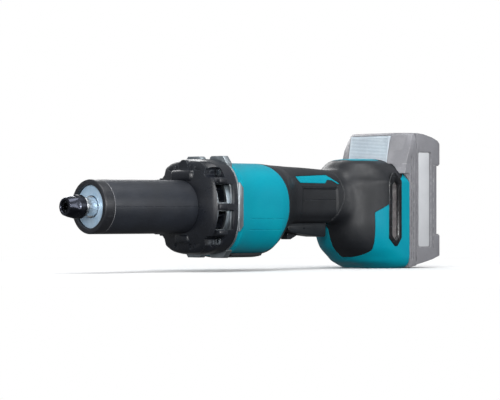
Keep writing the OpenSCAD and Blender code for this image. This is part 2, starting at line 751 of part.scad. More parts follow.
module charge_lamps() color("#d9e6d0") for (y = lamps_y)
    bar([397.8, 400.2], [y, y + 3], [29.5, 32.5]);

collet_nut();
collet();
spindle();
nose_ring();
bearing_retainer();
felt_seal();
barrel_housing();
barrel_sleeve();
front_bearing_outer();
front_bearing_inner();
rear_bearing_outer();
rear_bearing_inner();
drive_coupling();
rotor_shaft();
fan();
fan_cover();
bearing_plate();
cover_screws();
motor_bearings_outer();
motor_bearings_inner();
rotor_core();
stator_core();
windings();
motor_housing();
housing_pad();
handle_left();
handle_right();
grip_left();
grip_right();
handle_screws();
dust_cover_left();
dust_cover_right();
dust_mesh_left();
dust_mesh_right();
speed_dial();
switch_body();
switch_plunger();
paddle();
paddle_pin();
paddle_spring();
lock_off_lever();
lever_pin();
lever_spring();
controller();
motor_leads();
control_leads();
battery_rail();
rail_terminals();
battery_front();
battery_tub();
battery_cells();
cell_holder();
battery_board();
battery_clips();
battery_screws();
release_button();
latch_springs();
check_button();
charge_lamps();
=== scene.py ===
"""The looks of a cordless die grinder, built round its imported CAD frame.

X runs along the spindle from the collet (x = 0) to the battery, +Z is up. Shapes are given in
millimetres in that frame and become metres when a mesh is made.
"""

import math

import bpy
import numpy as np
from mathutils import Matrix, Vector
from mathutils.bvhtree import BVHTree


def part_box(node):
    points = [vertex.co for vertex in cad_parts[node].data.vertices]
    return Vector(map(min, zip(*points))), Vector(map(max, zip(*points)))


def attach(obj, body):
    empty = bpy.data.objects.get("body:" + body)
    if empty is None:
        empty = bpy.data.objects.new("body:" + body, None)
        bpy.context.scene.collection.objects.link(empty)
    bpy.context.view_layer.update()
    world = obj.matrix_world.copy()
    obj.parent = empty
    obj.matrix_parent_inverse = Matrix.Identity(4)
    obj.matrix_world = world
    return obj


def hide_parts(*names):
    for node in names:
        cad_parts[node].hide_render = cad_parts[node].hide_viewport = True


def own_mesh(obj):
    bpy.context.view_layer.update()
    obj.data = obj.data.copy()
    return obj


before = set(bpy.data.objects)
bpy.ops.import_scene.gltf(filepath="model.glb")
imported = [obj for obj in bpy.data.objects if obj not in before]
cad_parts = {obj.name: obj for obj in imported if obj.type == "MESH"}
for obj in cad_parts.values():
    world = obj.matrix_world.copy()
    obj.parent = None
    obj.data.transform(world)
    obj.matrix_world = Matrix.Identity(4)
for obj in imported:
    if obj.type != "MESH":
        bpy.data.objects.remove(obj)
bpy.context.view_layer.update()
MM = 0.001
SIDES = {"left": -1, "right": 1}
BOTH = (-1, 1)


def cad(node):
    """The lowest and highest corner of a CAD node, in millimetres."""
    low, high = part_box(node)
    return np.array(low) / MM, np.array(high) / MM


def round_angles(count):
    """Angles evenly spaced round a circle, in radians."""
    return np.linspace(0, 2 * np.pi, count, endpoint=False)


def put(name, data, at=(0, 0, 0), facing=None):
    """A new object in the scene, turned so that its -Z points along facing."""
    thing = bpy.data.objects.new(name, data)
    thing.location = at
    if facing is not None:
        thing.rotation_euler = Vector(facing).to_track_quat("-Z", "Y").to_euler()
    bpy.context.scene.collection.objects.link(thing)
    return thing


# ---- camera, floor and light ----

CAMERA_AT = (-1.25338, -1.56312, -0.00582)
CAMERA_LOOKS = (0.682, 0.7314, 0.0056)
CAMERA_LENS = 177.77


def add_camera():
    data = bpy.data.cameras.new("camera")
    data.lens = CAMERA_LENS
    data.sensor_width = 36.0
    bpy.context.scene.camera = put("camera", data, CAMERA_AT, CAMERA_LOOKS)


def add_light(name, at, target, size, watts):
    data = bpy.data.lights.new(name, "AREA")
    data.shape = "RECTANGLE"
    data.size, data.size_y = size
    data.energy = watts
    put(name, data, at, Vector(target) - Vector(at))


def wire(node, inputs):
    """Sets or links a shader node's inputs, by name or by number."""
    for key, value in inputs.items():
        if isinstance(value, bpy.types.NodeSocket):
            node.id_data.links.new(value, node.inputs[key])
        else:
            node.inputs[key].default_value = value
    return node


def shader_node(tree, kind, **inputs):
    """A new shader node; the input From_Min sets or links the socket From Min."""
    return wire(tree.nodes.new("ShaderNode" + kind), {k.replace("_", " "): v for k, v in inputs.items()})


def blend(tree, share, first, second):
    """The first shader where share is 0 and the second where it is 1."""
    return wire(tree.nodes.new("ShaderNodeMixShader"), {0: share, 1: first, 2: second}).outputs[0]


def add_world():
    """White behind the object, and a grey that fades towards the ground where it lights and reflects."""
    world = bpy.data.worlds.new("studio")
    world.use_nodes = True
    tree = world.node_tree
    tree.nodes.clear()
    heading = shader_node(tree, "TexCoord").outputs["Generated"]
    upward = shader_node(tree, "SeparateXYZ", Vector=heading).outputs["Z"]
    fade = shader_node(tree, "MapRange", Value=upward, From_Min=-0.6, From_Max=0.7, To_Min=0.08, To_Max=0.46)
    lit = shader_node(tree, "Background", Color=(0.93, 0.96, 1, 1), Strength=fade.outputs["Result"])
    seen = shader_node(tree, "Background", Color=(1, 1, 1, 1))
    camera_ray = shader_node(tree, "LightPath").outputs["Is Camera Ray"]
    shader_node(tree, "OutputWorld", Surface=blend(tree, camera_ray, lit.outputs[0], seen.outputs[0]))
    bpy.context.scene.world = world


def add_floor():
    """A pale floor under the foot, plain white away from the object and clear from below."""
    half, level = 6.0, cad("handle_left")[0][2] * MM - 0.0002
    mesh = bpy.data.meshes.new("floor")
    corners = [(-half, -half, level), (half, -half, level), (half, half, level), (-half, half, level)]
    mesh.from_pydata(corners, [], [(0, 1, 2, 3)])
    floor = put("floor", mesh)
    floor.visible_glossy = False
    floor.visible_diffuse = False
    floor.data.materials.append(floor_material())


def floor_material():
    material = bpy.data.materials.new("floor_white")
    material.use_nodes = True
    tree = material.node_tree
    shader = tree.nodes["Principled BSDF"]
    wire(shader, {"Base Color": (0.9, 0.9, 0.9, 1), "Roughness": 0.9, "Specular IOR Level": 0.1})
    white = shader_node(tree, "Emission", Color=(1, 1, 1, 1), Strength=1.0)
    away = wire(tree.nodes.new("ShaderNodeVectorMath"),
                {0: shader_node(tree, "TexCoord").outputs["Object"], 1: (0.25, 0, -0.05)})
    away.operation = "DISTANCE"
    fade = shader_node(tree, "MapRange", Value=away.outputs["Value"], From_Min=0.12, From_Max=0.55)
    fade.interpolation_type = "SMOOTHSTEP"
    above = blend(tree, fade.outputs["Result"], shader.outputs[0], white.outputs[0])
    below = shader_node(tree, "BsdfTransparent").outputs[0]
    behind = shader_node(tree, "NewGeometry").outputs["Backfacing"]
    wire(tree.nodes["Material Output"], {"Surface": blend(tree, behind, above, below)})
    return material


# ---- materials ----


def linear(colour):
    """An sRGB colour such as 00afc3 as linear red, green, blue and alpha."""
    parts = [int(colour[i : i + 2], 16) / 255 for i in (0, 2, 4)]
    return (*[c / 12.92 if c <= 0.04045 else ((c + 0.055) / 1.055) ** 2.4 for c in parts], 1.0)


class Finish:
    """A Principled material with small helpers for procedural patterns. Lengths are in millimetres."""

    def __init__(self, name, **constants):
        self.material = bpy.data.materials.new(name)
        self.material.use_nodes = True
        self.tree = self.material.node_tree
        self.shader = self.tree.nodes["Principled BSDF"]
        wire(self.shader, {key.replace("_", " "): value for key, value in constants.items()})
        self.coords = self.add("TexCoord").outputs["Object"]
        self.height = None

    def add(self, kind, **inputs):
        return shader_node(self.tree, kind, **inputs)

    def texture(self, kind, size, stretch=(1, 1, 1), **inputs):
        """A texture whose features are about size across."""
        place = self.add("Mapping", Vector=self.coords, Scale=stretch).outputs["Vector"]
        return self.add("Tex" + kind, Vector=place, Scale=1 / (size * MM), **inputs)

    def noise(self, size, detail=2.0, stretch=(1, 1, 1)):
        return self.texture("Noise", size, stretch, Detail=detail).outputs["Fac"]

    def cells(self, size):
        return self.texture("Voronoi", size).outputs["Distance"]

    def bands(self, size, along="X", distortion=0.0):
        node = self.add("TexWave", Vector=self.coords, Scale=0.314 / (size * MM), Distortion=distortion)
        node.bands_direction = along
        return node.outputs["Fac"]

    def scratches(self, size=0.35, length=24):
        """Long thin streaks in three directions, from 0 to 1."""
        total = 0.0
        for stretch in ((1, length, length), (length, 1, length * 0.6), (length, length, 1)):
            streak = self.ramp(self.noise(size * length, 3.0, stretch), 0.63, 0.7)
            total = self.maths("MAXIMUM", total, streak)
        return total

    def maths(self, operation, a, b):
        node = wire(self.tree.nodes.new("ShaderNodeMath"), {0: a, 1: b})
        node.operation = operation
        return node.outputs[0]

    def ramp(self, value, low, high, to_low=0.0, to_high=1.0):
        node = self.add("MapRange", Value=value, From_Min=low, From_Max=high, To_Min=to_low, To_Max=to_high)
        return node.outputs["Result"]

    def mix(self, share, first, second):
        """From the first colour to the second; a colour is a socket or text such as 00afc3."""
        node = self.tree.nodes.new("ShaderNodeMix")
        node.data_type = "RGBA"
        first, second = (linear(c) if isinstance(c, str) else c for c in (first, second))
        sockets = [i for i, s in enumerate(node.inputs) if s.type == "RGBA"]
        wire(node, {"Factor": share, sockets[0]: first, sockets[1]: second})
        return [s for s in node.outputs if s.type == "RGBA"][0]

    def rounded(self, radius):
        node = self.add("Bevel", Radius=radius * MM)
        node.samples = 4
        return node.outputs["Normal"]

    def edges(self, radius):
        """1 on sharp edges and 0 on open surface."""
        flat = self.add("NewGeometry").outputs["Normal"]
        node = wire(self.tree.nodes.new("ShaderNodeVectorMath"), {0: self.rounded(radius), 1: flat})
        node.operation = "DOT_PRODUCT"
        worn = self.ramp(node.outputs["Value"], 0.995, 0.9)
        return self.maths("MULTIPLY", worn, self.ramp(self.noise(4.0, 4.0), 0.42, 0.62))

    def relief(self, value, depth):
        """Adds a height pattern to the surface, depth millimetres from low to high."""
        scaled = self.maths("MULTIPLY", value, depth * MM)
        self.height = scaled if self.height is None else self.maths("ADD", self.height, scaled)

    def done(self, colour, roughness, radius=0.25):
        """Wires colour and roughness, and the relief over softly rounded edges. Returns the material."""
        bump = self.add("Bump", Distance=1.0, Strength=1.0, Height=self.height, Normal=self.rounded(radius))
        wire(self.shader, {"Base Color": colour, "Roughness": roughness, "Normal": bump.outputs["Normal"]})
        return self.material


def moulded(name, main, lifted, worn, rough, grain=0.5, depth=0.004, radius=0.35, **constants):
    """Moulded plastic or rubber: fine grain, slow colour drift, paler worn edges and faint scratches; on the
    pack and the gloss frame those paler edges are partly a painted highlight.
    """
    f = Finish(name, **constants)
    colour = f.mix(f.ramp(f.noise(22.0, 3.0), 0.3, 0.72), main, lifted)
    marks = f.scratches()
    edge_wear_and_highlight = f.maths("MAXIMUM", f.edges(radius), f.maths("MULTIPLY", marks, 0.25))
    colour = f.mix(f.maths("MULTIPLY", edge_wear_and_highlight, 0.55), colour, worn)
    fine = f.cells(grain)
    f.relief(fine, depth)
    f.relief(marks, -depth * 0.5)
    smears = f.ramp(f.noise(9.0, 4.0), 0.35, 0.7, rough * 0.86, rough * 1.16)
    return f.done(colour, f.maths("ADD", smears, f.ramp(fine, 0, 0.8, 0, 0.04)), radius)


def machined(name, main, lifted, worn, rough, lay="rings", radius=0.25, depth=0.003, metallic=1.0):
    """Metal with the marks of its making: rings of a lathe along X, or a cast or ground skin."""
    f = Finish(name, Metallic=metallic)
    if lay == "rings":
        skin = f.noise(0.22, 2.0, (1, 0.01, 0.01))
    elif lay == "ground":
        skin = f.noise(0.3, 3.0, (0.06, 1, 1))
    else:
        skin = f.cells(0.8)
    colour = f.mix(f.ramp(f.noise(7.0, 4.0), 0.35, 0.7), main, lifted)
    colour = f.mix(f.maths("MULTIPLY", f.edges(radius), 0.8), colour, worn)
    f.relief(skin, depth)
    smears = f.ramp(f.noise(5.0, 4.0), 0.3, 0.7, rough * 0.8, rough * 1.25)
    return f.done(colour, f.maths("ADD", smears, f.ramp(skin, 0.3, 0.7, -0.02, 0.03)), radius)


def felt_finish():
    f = Finish("felt", Sheen_Weight=0.4, Sheen_Roughness=0.5)
    strands = f.noise(0.5, 6.0, (1, 1, 3))
    f.relief(strands, 0.12)
    return f.done(f.mix(strands, "35363a", "5c5d61"), f.ramp(strands, 0.3, 0.7, 0.85, 1.0))


def copper_finish():
    """Enamelled wire laid side by side along X."""
    f = Finish("copper_wire", Metallic=1.0)
    turns = f.maths("MULTIPLY", f.bands(0.6, "Y"), f.bands(0.6, "Z"))
    f.relief(turns, 0.12)
    return f.done(f.mix(turns, "7a3c16", "c9793f"), f.ramp(f.noise(3.0), 0.3, 0.7, 0.22, 0.4))


def laminated_finish():
    """A stack of thin steel sheets along X."""
    f = Finish("lamination", Metallic=1.0)
    sheets = f.bands(0.5)
    f.relief(sheets, 0.04)
    colour = f.mix(f.ramp(f.noise(3.0, 4.0), 0.35, 0.7), "6c7177", "8b9096")
    return f.done(colour, f.ramp(sheets, 0, 1, 0.35, 0.6))


def board_finish():
    """A coated circuit board with tracks and pads."""
    f = Finish("board")
    tracks = f.ramp(f.maths("MULTIPLY", f.bands(2.2, "Y", 3.0), f.bands(3.1, "Z", 2.0)), 0.45, 0.5)
    f.relief(tracks, 0.05)
    return f.done(f.mix(tracks, "1f5a38", "3d8a57"), f.ramp(f.noise(2.0), 0.3, 0.7, 0.3, 0.45))


def lamp_finish():
    f = Finish("lamp_lens", Transmission_Weight=0.35, IOR=1.45)
    prisms = f.cells(0.5)
    f.relief(prisms, 0.06)
    return f.done(f.mix(prisms, "eef4ea", "c8d8c4"), f.ramp(prisms, 0, 0.6, 0.25, 0.45), 0.1)


FINISHES = {
    "teal": moulded("teal_plastic", "0093a5", "008aa0", "2fbccb", 0.34, 0.45, 0.003, 0.4,
                    Specular_IOR_Level=0.16),
    "black": moulded("black_plastic", "15171c", "1c1f26", "59626c", 0.27, 0.55, 0.004),
    "nose": moulded("nose_plastic", "1b1c20", "23252a", "7b8087", 0.36, 0.5, 0.002),
    "barrel": moulded("barrel_plastic", "202329", "262a32", "5a6069", 0.42, 0.4, 0.004),
    "rubber": moulded("grip_rubber", "131519", "191c21", "3d4248", 0.44, 0.6, 0.008, 0.5),
    "paddle": moulded("paddle_plastic", "0f1419", "161c22", "4c565f", 0.34),
    # The gloss frame's pale a0a7af edges are partly edge wear and partly a painted highlight along its
    # bevels.
    "frame": moulded("gloss_frame_wear_and_highlight_edges", "0c0d10", "121417", "a0a7af", 0.13, 0.6, 0.001, 0.5),
    # The pack's pale d0d1d4 edges, 0.7 mm wide, are partly edge wear and partly painted highlight lines along
    # the facets.
    "pack": moulded("pack_plastic", "77777b", "848489", "d0d1d4", 0.38, 0.5, 0.004, 0.7),
    "label": moulded("blank_label", "b9bbbf", "c6c8cb", "e2e3e5", 0.3, 0.8, 0.001),
    "button": moulded("button_plastic", "bcc6cf", "ccd6de", "f4f8fb", 0.3, 0.5, 0.003, 0.4),
    "white": moulded("white_plastic", "cfcfc8", "dedfd8", "f0f0ea", 0.45),
    "sheath": moulded("lead_sheath", "6f2323", "8a2f2f", "a45050", 0.45, 0.4, 0.004),
    "cell": moulded("cell_sleeve", "2f63a0", "3f74b2", "9db9d8", 0.28, 1.2, 0.002),
    "coupling": moulded("coupling_rubber", "4a3b2d", "5a4a3a", "7d6a56", 0.6, 0.6, 0.01),
    "nut": machined("blackened_steel", "3a3c45", "4a4d57", "b5bbc4", 0.27, "ground"),
    "spindle": machined("polished_steel", "e4e9ed", "f3f6f8", "ffffff", 0.3),
    "steel": machined("ground_steel", "b9c0c6", "ccd2d7", "f0f3f5", 0.24),
    "zinc": machined("zinc_plate", "a9c6de", "c3dbee", "ffffff", 0.42, depth=0.005, metallic=0.35),
    # Near-black steel: blackened on the pins, and on the collet partly a painted shade so it looks dark
    # inside the nut's bore.
    "collet": machined("dark_steel_and_painted_shade", "202226", "2a2c31", "6d7279", 0.4),
    "screw": machined("screw_steel", "7d858c", "9aa2a9", "dfe4e8", 0.26),
    "cast": machined("cast_aluminium", "9ba3a8", "b4bcc1", "e6eaed", 0.42, "cast", 0.4, 0.015),
    "brass": machined("contact_brass", "b98f45", "d1a85c", "f0d9a0", 0.28, "ground"),
    "mesh": machined("mesh_wire", "a8a3a3", "bfbaba", "e8e6e6", 0.38, "ground"),
    "felt": felt_finish(),
    "copper": copper_finish(),
    "lamination": laminated_finish(),
    "board": board_finish(),
    "lamp": lamp_finish(),
}

CAD_FINISHES = {
    # The collet takes the near-black finish partly as painted shade inside the nut's bore.
    "collet": "collet paddle_pin lever_pin",
    "steel": "front_bearing_outer front_bearing_inner rear_bearing_outer rear_bearing_inner "
             "motor_bearings_outer motor_bearings_inner rotor_shaft lever_spring",
    "screw": "cover_screws battery_screws",
    "felt": "felt_seal",
    "cast": "barrel_housing controller",
    "coupling": "drive_coupling",
    "black": "fan speed_dial switch_body lock_off_lever battery_rail cell_holder check_button",
    "lamination": "rotor_core stator_core",
    "copper": "windings",
    "white": "switch_plunger",
    "sheath": "motor_leads control_leads",
    "brass": "rail_terminals battery_clips",
    "cell": "battery_cells",
    "board": "battery_board",
    "lamp": "charge_lamps",
}


def dress(piece, finish):
    piece.data.materials.clear()
    piece.data.materials.append(FINISHES[finish])


# ---- mesh helpers ----


def solid(name, points, faces):
    """A new object from points in millimetres."""
    mesh = bpy.data.meshes.new(name)
    mesh.from_pydata([tuple(float(c) * MM for c in p) for p in points], [], faces)
    return put(name, mesh)


def tube_faces(rows, columns, closed=False):
    """Quads between rows of points, each row a closed loop."""
    faces = []
    for i in range(rows if closed else rows - 1):
        for k in range(columns):
            a, b = i * columns + k, i * columns + (k + 1) % columns
            c, d = (i + 1) % rows * columns + k, (i + 1) % rows * columns + (k + 1) % columns
            faces.append((a, c, d, b))
    return faces


def outward(piece):
    """Turns the faces so that the solid's volume is positive."""
    mesh = piece.data
    mesh.calc_loop_triangles()
    co = points_of(piece)
    corners = np.array([t.vertices for t in mesh.loop_triangles])
    a, b, c = co[corners[:, 0]], co[corners[:, 1]], co[corners[:, 2]]
    if np.einsum("ij,ij->", a, np.cross(b, c)) < 0:
        mesh.flip_normals()
    return piece


def loft(name, rings, closed=False):
    """A skin through rings of equally many points, with flat ends or back to its first ring."""
    rows, count = len(rings), len(rings[0])
    faces = tube_faces(rows, count, closed)
    if not closed:
        faces += [tuple(range(count)), tuple(reversed(range((rows - 1) * count, rows * count)))]
    return outward(solid(name, [p for ring in rings for p in ring], faces))


def prism(name, outline, axis, low, high):
    """An outline of (a, b) points pushed along an axis: (y, z) along x, (x, z) along y, (x, y) along z."""
    order = {"x": (2, 0, 1), "y": (0, 2, 1), "z": (0, 1, 2)}[axis]
    return loft(name, [[tuple((*p, h)[k] for k in order) for p in outline] for h in (low, high)])


def block(name, x, y, z):
    return prism(name, [(x[0], y[0]), (x[1], y[0]), (x[1], y[1]), (x[0], y[1])], "z", z[0], z[1])


def turned(name, profile, steps=144):
    """A closed loop of (x, radius) points turned round the spindle's axis."""
    turns = round_angles(steps)
    return loft(name, [[(x, r * math.cos(t), r * math.sin(t)) for x, r in profile] for t in turns], True)


def rod(name, axis, at, radius, low, high, steps=48):
    """A cylinder along an axis, with its centre at the other two coordinates."""
    turns = round_angles(steps)
    outline = [(at[0] + radius * math.cos(t), at[1] + radius * math.sin(t)) for t in turns]
    return prism(name, outline, axis, low, high)


def span(side, near, far):
    """The limits of a stretch from near to far on the minus side (-1) or the plus side (1)."""
    return sorted((side * near, side * far))


def arc(centre, radius, start, end, steps):
    turns = np.radians(np.linspace(start, end, steps))
    return [(centre[0] + radius * math.cos(t), centre[1] + radius * math.sin(t)) for t in turns]


def rounded_rectangle(a, b, radius, steps=6):
    """Outline of a rectangle from limits a and b along two axes, with round corners."""
    corners = ((a[1], b[1], 0), (a[0], b[1], 90), (a[0], b[0], 180), (a[1], b[0], 270))
    points = []
    for x, y, turn in corners:
        centre = (x - radius * (1 if x == a[1] else -1), y - radius * (1 if y == b[1] else -1))
        points += arc(centre, radius, turn, turn + 90, steps)
    return points


def rounded(outline, radius, steps=5):
    """An outline with each corner replaced by a short curve, radius along each side."""
    points = []
    for i, corner in enumerate(outline):
        corners = (corner, outline[i - 1], outline[(i + 1) % len(outline)])
        corner, before, after = (np.array(p, float) for p in corners)
        reach = min(radius, np.linalg.norm(before - corner) / 2.2, np.linalg.norm(after - corner) / 2.2)
        start = corner + (before - corner) / np.linalg.norm(before - corner) * reach
        end = corner + (after - corner) / np.linalg.norm(after - corner) * reach
        for t in np.linspace(0, 1, steps):
            points.append(tuple((1 - t) ** 2 * start + 2 * t * (1 - t) * corner + t * t * end))
    return points


def grown(outline, by):
    """An outline moved outwards by a distance, with its corners mitred."""
    points = np.array(outline, float)
    area = sum(a[0] * b[1] - b[0] * a[1] for a, b in zip(points, np.roll(points, -1, 0)))
    side = 1 if area > 0 else -1
    moved = []
    for before, corner, after in zip(np.roll(points, 1, 0), points, np.roll(points, -1, 0)):
        normals = []
        for a, b in ((before, corner), (corner, after)):
            run = (b - a) / np.linalg.norm(b - a)
            normals.append(np.array([run[1], -run[0]]) * side)
        middle = normals[0] + normals[1]
        moved.append(tuple(corner + middle * by * 2 / max(middle @ middle, 0.6)))
    return moved


def modify(piece, kind, **settings):
    """Adds a modifier to a piece and applies it."""
    modifier = piece.modifiers.new("change", kind)
    for name, value in settings.items():
        setattr(modifier, name, value)
    graph = bpy.context.evaluated_depsgraph_get()
    mesh = bpy.data.meshes.new_from_object(piece.evaluated_get(graph))
    piece.modifiers.clear()
    piece.data = mesh
    return piece


def combine(piece, other, operation, keep_other=False):
    modify(piece, "BOOLEAN", operation=operation, solver="MANIFOLD", object=other)
    if not keep_other:
        bpy.data.objects.remove(other)
    return piece


def cut(piece, *cutters):
    for cutter in cutters:
        combine(piece, cutter, "DIFFERENCE")
    return piece


def fuse(piece, *others):
    for other in others:
        combine(piece, other, "UNION")
    return piece


def copy_of(piece, name):
    return put(name, piece.data.copy())


def vectors_of(piece, kind):
    """What each vertex of a piece holds as kind: its place (co) in metres, or its normal."""
    flat = np.empty(len(piece.data.vertices) * 3)
    piece.data.vertices.foreach_get(kind, flat)
    return flat.reshape(-1, 3)


def points_of(piece):
    return vectors_of(piece, "co") / MM


def set_points(piece, co):
    piece.data.vertices.foreach_set("co", (co * MM).ravel())
    piece.data.update()


def offset_skin(piece, by):
    set_points(piece, points_of(piece) + vectors_of(piece, "normal") * by)
    return piece


def relax(piece, weight, rounds, hold_size=False):
    """Draws each vertex towards its neighbours' middle by its weight, and back again to hold the size."""
    mesh, co = piece.data, points_of(piece)
    ends = np.empty(len(mesh.edges) * 2, int)
    mesh.edges.foreach_get("vertices", ends)
    a, b = ends.reshape(-1, 2).T
    n = len(co)
    count = np.bincount(a, minlength=n) + np.bincount(b, minlength=n)
    for _ in range(rounds):
        for share in (0.5, -0.52) if hold_size else (0.5,):
            total = [np.bincount(a, co[b, k], n) + np.bincount(b, co[a, k], n) for k in range(3)]
            co = co + (weight * share)[:, None] * (np.stack(total, 1) / count[:, None] - co)
    set_points(piece, co)


def soften(piece, width, segments=3, angle=25):
    """Rounds the sharp edges of a piece that is made of flat faces."""
    size, limit = width * MM, math.radians(angle)
    return modify(piece, "BEVEL", width=size, segments=segments, limit_method="ANGLE", angle_limit=limit)


def finish_piece(piece, body, finish, *nodes, slot=None, sharp=32):
    """Shades a piece smooth between sharp edges, dresses it and puts it on its body; its slot argument is not
    used.
    """
    piece.data.shade_smooth()
    piece.data.set_sharp_from_angle(angle=math.radians(sharp))
    dress(piece, finish)
    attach(piece, body)
    if nodes:
        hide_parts(*nodes)
    return piece


def step(value, low, high):
    """0 below low, 1 above high and a smooth rise between."""
    t = np.clip((value - low) / (high - low), 0, 1)
    return t * t * (3 - 2 * t)


def through(rows, count):
    """Rows joined by a smooth curve that never overshoots, at count places along their first column."""
    rows = np.array(rows, float)
    x, gap = rows[:, 0], np.diff(rows[:, 0])
    slope = np.diff(rows, axis=0) / gap[:, None]
    tangent = np.zeros_like(rows)
    tangent[0], tangent[-1] = slope[0], slope[-1]
    both = slope[:-1] * slope[1:]
    tangent[1:-1] = np.where(both > 0, 2 * both / np.where(both > 0, slope[:-1] + slope[1:], 1), 0)
    at = np.linspace(x[0], x[-1], count)
    k = np.clip(np.searchsorted(x, at, side="right") - 1, 0, len(x) - 2)
    s, h = ((at - x[k]) / gap[k])[:, None], gap[k][:, None]
    return (
        (2 * s**3 - 3 * s**2 + 1) * rows[k]
        + (s**3 - 2 * s**2 + s) * h * tangent[k]
        + (3 * s**2 - 2 * s**3) * rows[k + 1]
        + (s**3 - s**2) * h * tangent[k + 1]
    )


def oval(half_w, top, bottom, power, count=160, low_power=None):
    """Outline (y, z) of a squarish oval with its own height and squareness above and below the axis."""
    turns = round_angles(count)
    c, s = np.cos(turns), np.sin(turns)
    squareness = 2 / np.where(s < 0, low_power or power, power)
    y = half_w * np.sign(c) * np.abs(c) ** squareness
    z = np.where(s > 0, top, bottom) * np.sign(s) * np.abs(s) ** squareness
    return list(zip(y, z))


def sweep(name, path, radius, sides=8):
    """A round tube along a path of points."""
    path = np.array(path, float)
    runs = np.gradient(path, axis=0)
    runs /= np.linalg.norm(runs, axis=1)[:, None]
    up = np.array([0.0, 0.0, 1.0]) if abs(runs[0][2]) < 0.9 else np.array([1.0, 0.0, 0.0])
    rings = []
    for p, run in zip(path, runs):
        side = np.cross(run, up)
        side /= np.linalg.norm(side)
        up = np.cross(side, run)
        turns = round_angles(sides)
        rings.append([p + radius * (math.cos(t) * side + math.sin(t) * up) for t in turns])
    return loft(name, rings)


def dense(points, gap=1.0):
    """Points along a polyline, about gap apart."""
    made = []
    for a, b in zip(points, points[1:]):
        a, b = np.array(a, float), np.array(b, float)
        count = max(2, int(np.linalg.norm(b - a) / gap))
        made += [a + (b - a) * t for t in np.linspace(0, 1, count, endpoint=False)]
    return made + [np.array(points[-1], float)]


def groove(piece, side, points, radius=0.45, lift=0.1):
    """Cuts a fine round groove into a piece's side, along (x, z) points laid on its surface."""
    co = points_of(piece)
    tree = BVHTree.FromPolygons([tuple(p) for p in co], [tuple(f.vertices) for f in piece.data.polygons])
    path = []
    for x, z in dense(points):
        hit = tree.ray_cast((x, side * 90.0, z), (0, -side, 0))[0]
        if hit is not None:
            path.append((hit.x, hit.y + side * lift, hit.z))
    if len(path) > 2:
        cut(piece, sweep("groove", path, radius))


# ---- nose and barrel ----

NUT_TURN = 12.5


def make_nut():
    """The collet nut: a cone with six flats milled into its front, and a plain round collar behind."""
    low, high = cad("collet_nut")
    x0, x1, flat, shoulder = low[0], high[0], 8.75, 8.8
    skin = [(0, 6.9), (0.5, 7.4), (2.5, 8.0), (4.5, 8.65), (6.6, 9.2), (7.8, 9.6), (shoulder, 9.7),
            (shoulder + 0.9, 9.7), (x1 - x0 - 0.8, 9.7), (x1 - x0, 9.1)]
    bore = [(x1, 7.06), (x0 + 6, 7.06), (x0 + 5.4, 6.45), (x0 + 4.4, 6.45), (x0 + 2.2, 5.05),
            (x0 + 0.5, 5.05), (x0, 5.4)]
    rings = []
    for degrees in np.arange(0, 360, 2.5):
        off = (degrees - NUT_TURN + 30) % 60 - 30
        reach = flat / math.cos(math.radians(off))
        profile = [(x0 + x, min(r, reach) if x <= shoulder else r) for x, r in skin] + bore
        turn = math.radians(degrees)
        rings.append([(x, -r * math.cos(turn), r * math.sin(turn)) for x, r in profile])
    finish_piece(loft("nut", rings, True), "nut", "nut", "collet_nut", sharp=20)


def make_spindle():
    """The ground spindle with its tapered bore, and two spanner flats above and below."""
    profile = [(5, 6.2), (5, 6.6), (5.6, 7), (16.3, 7), (16.3, 8.3), (16.7, 8.7), (33.6, 8.7), (33.6, 8.5),
               (44, 8.5), (44, 9.5), (99, 9.5), (99, 7.5), (108, 7.5), (108, 6), (116, 6), (116, 0.01),
               (41, 0.01), (40, 4.2), (22, 4.2), (21.2, 4.65)]
    spindle = turned("ground_spindle", profile, 120)
    for side in BOTH:
        cut(spindle, block("flat", (17.5, 25.5), (-10, 10), span(side, 7.5, 12)))
    finish_piece(spindle, "spindle", "spindle", "spindle", sharp=30)


def make_nose():
    """The black ring at the barrel's end, the plated disc inside it, and a thin pale grey ring in the seam
    behind it that is a painted highlight line.
    """
    low, high = cad("nose_ring")
    x0, x1, r = low[0], high[0], high[2]
    corner = arc((x0 + 1.4, r - 1.4), 1.4, 180, 90, 6)
    ring = turned("ring", [(x0 + 4.5, 18), (x0 + 0.3, 18), (x0, 18.3)] + corner + [
        (x1 - 0.3, r), (x1, r - 0.35), (x1, 21), (x0 + 4.5, 21)], 200)
    finish_piece(ring, "housing", "nose", "nose_ring", slot="black_plastic", sharp=40)
    # A thin ring in the pale grey pack finish fills the seam: a painted highlight, the light line along the
    # joint.
    highlight_band = [(x1 - 0.1, r - 1), (x1 - 0.1, r - 0.08), (x1 + 0.3, r - 0.08), (x1 + 0.3, r - 1)]
    finish_piece(turned("nose_seam_painted_highlight", highlight_band, 200), "housing", "pack", slot="black_plastic")
    low, high = cad("bearing_retainer")
    x0, x1, r = low[0], high[0], high[2]
    disc = turned("disc", [(x0, 9.5), (x0 + 0.3, 9.2), (x1, 9.2), (x1, r), (x0 + 0.4, r), (x0, r - 0.4)], 160)
    finish_piece(disc, "housing", "zinc", "bearing_retainer", slot="plated_steel", sharp=40)


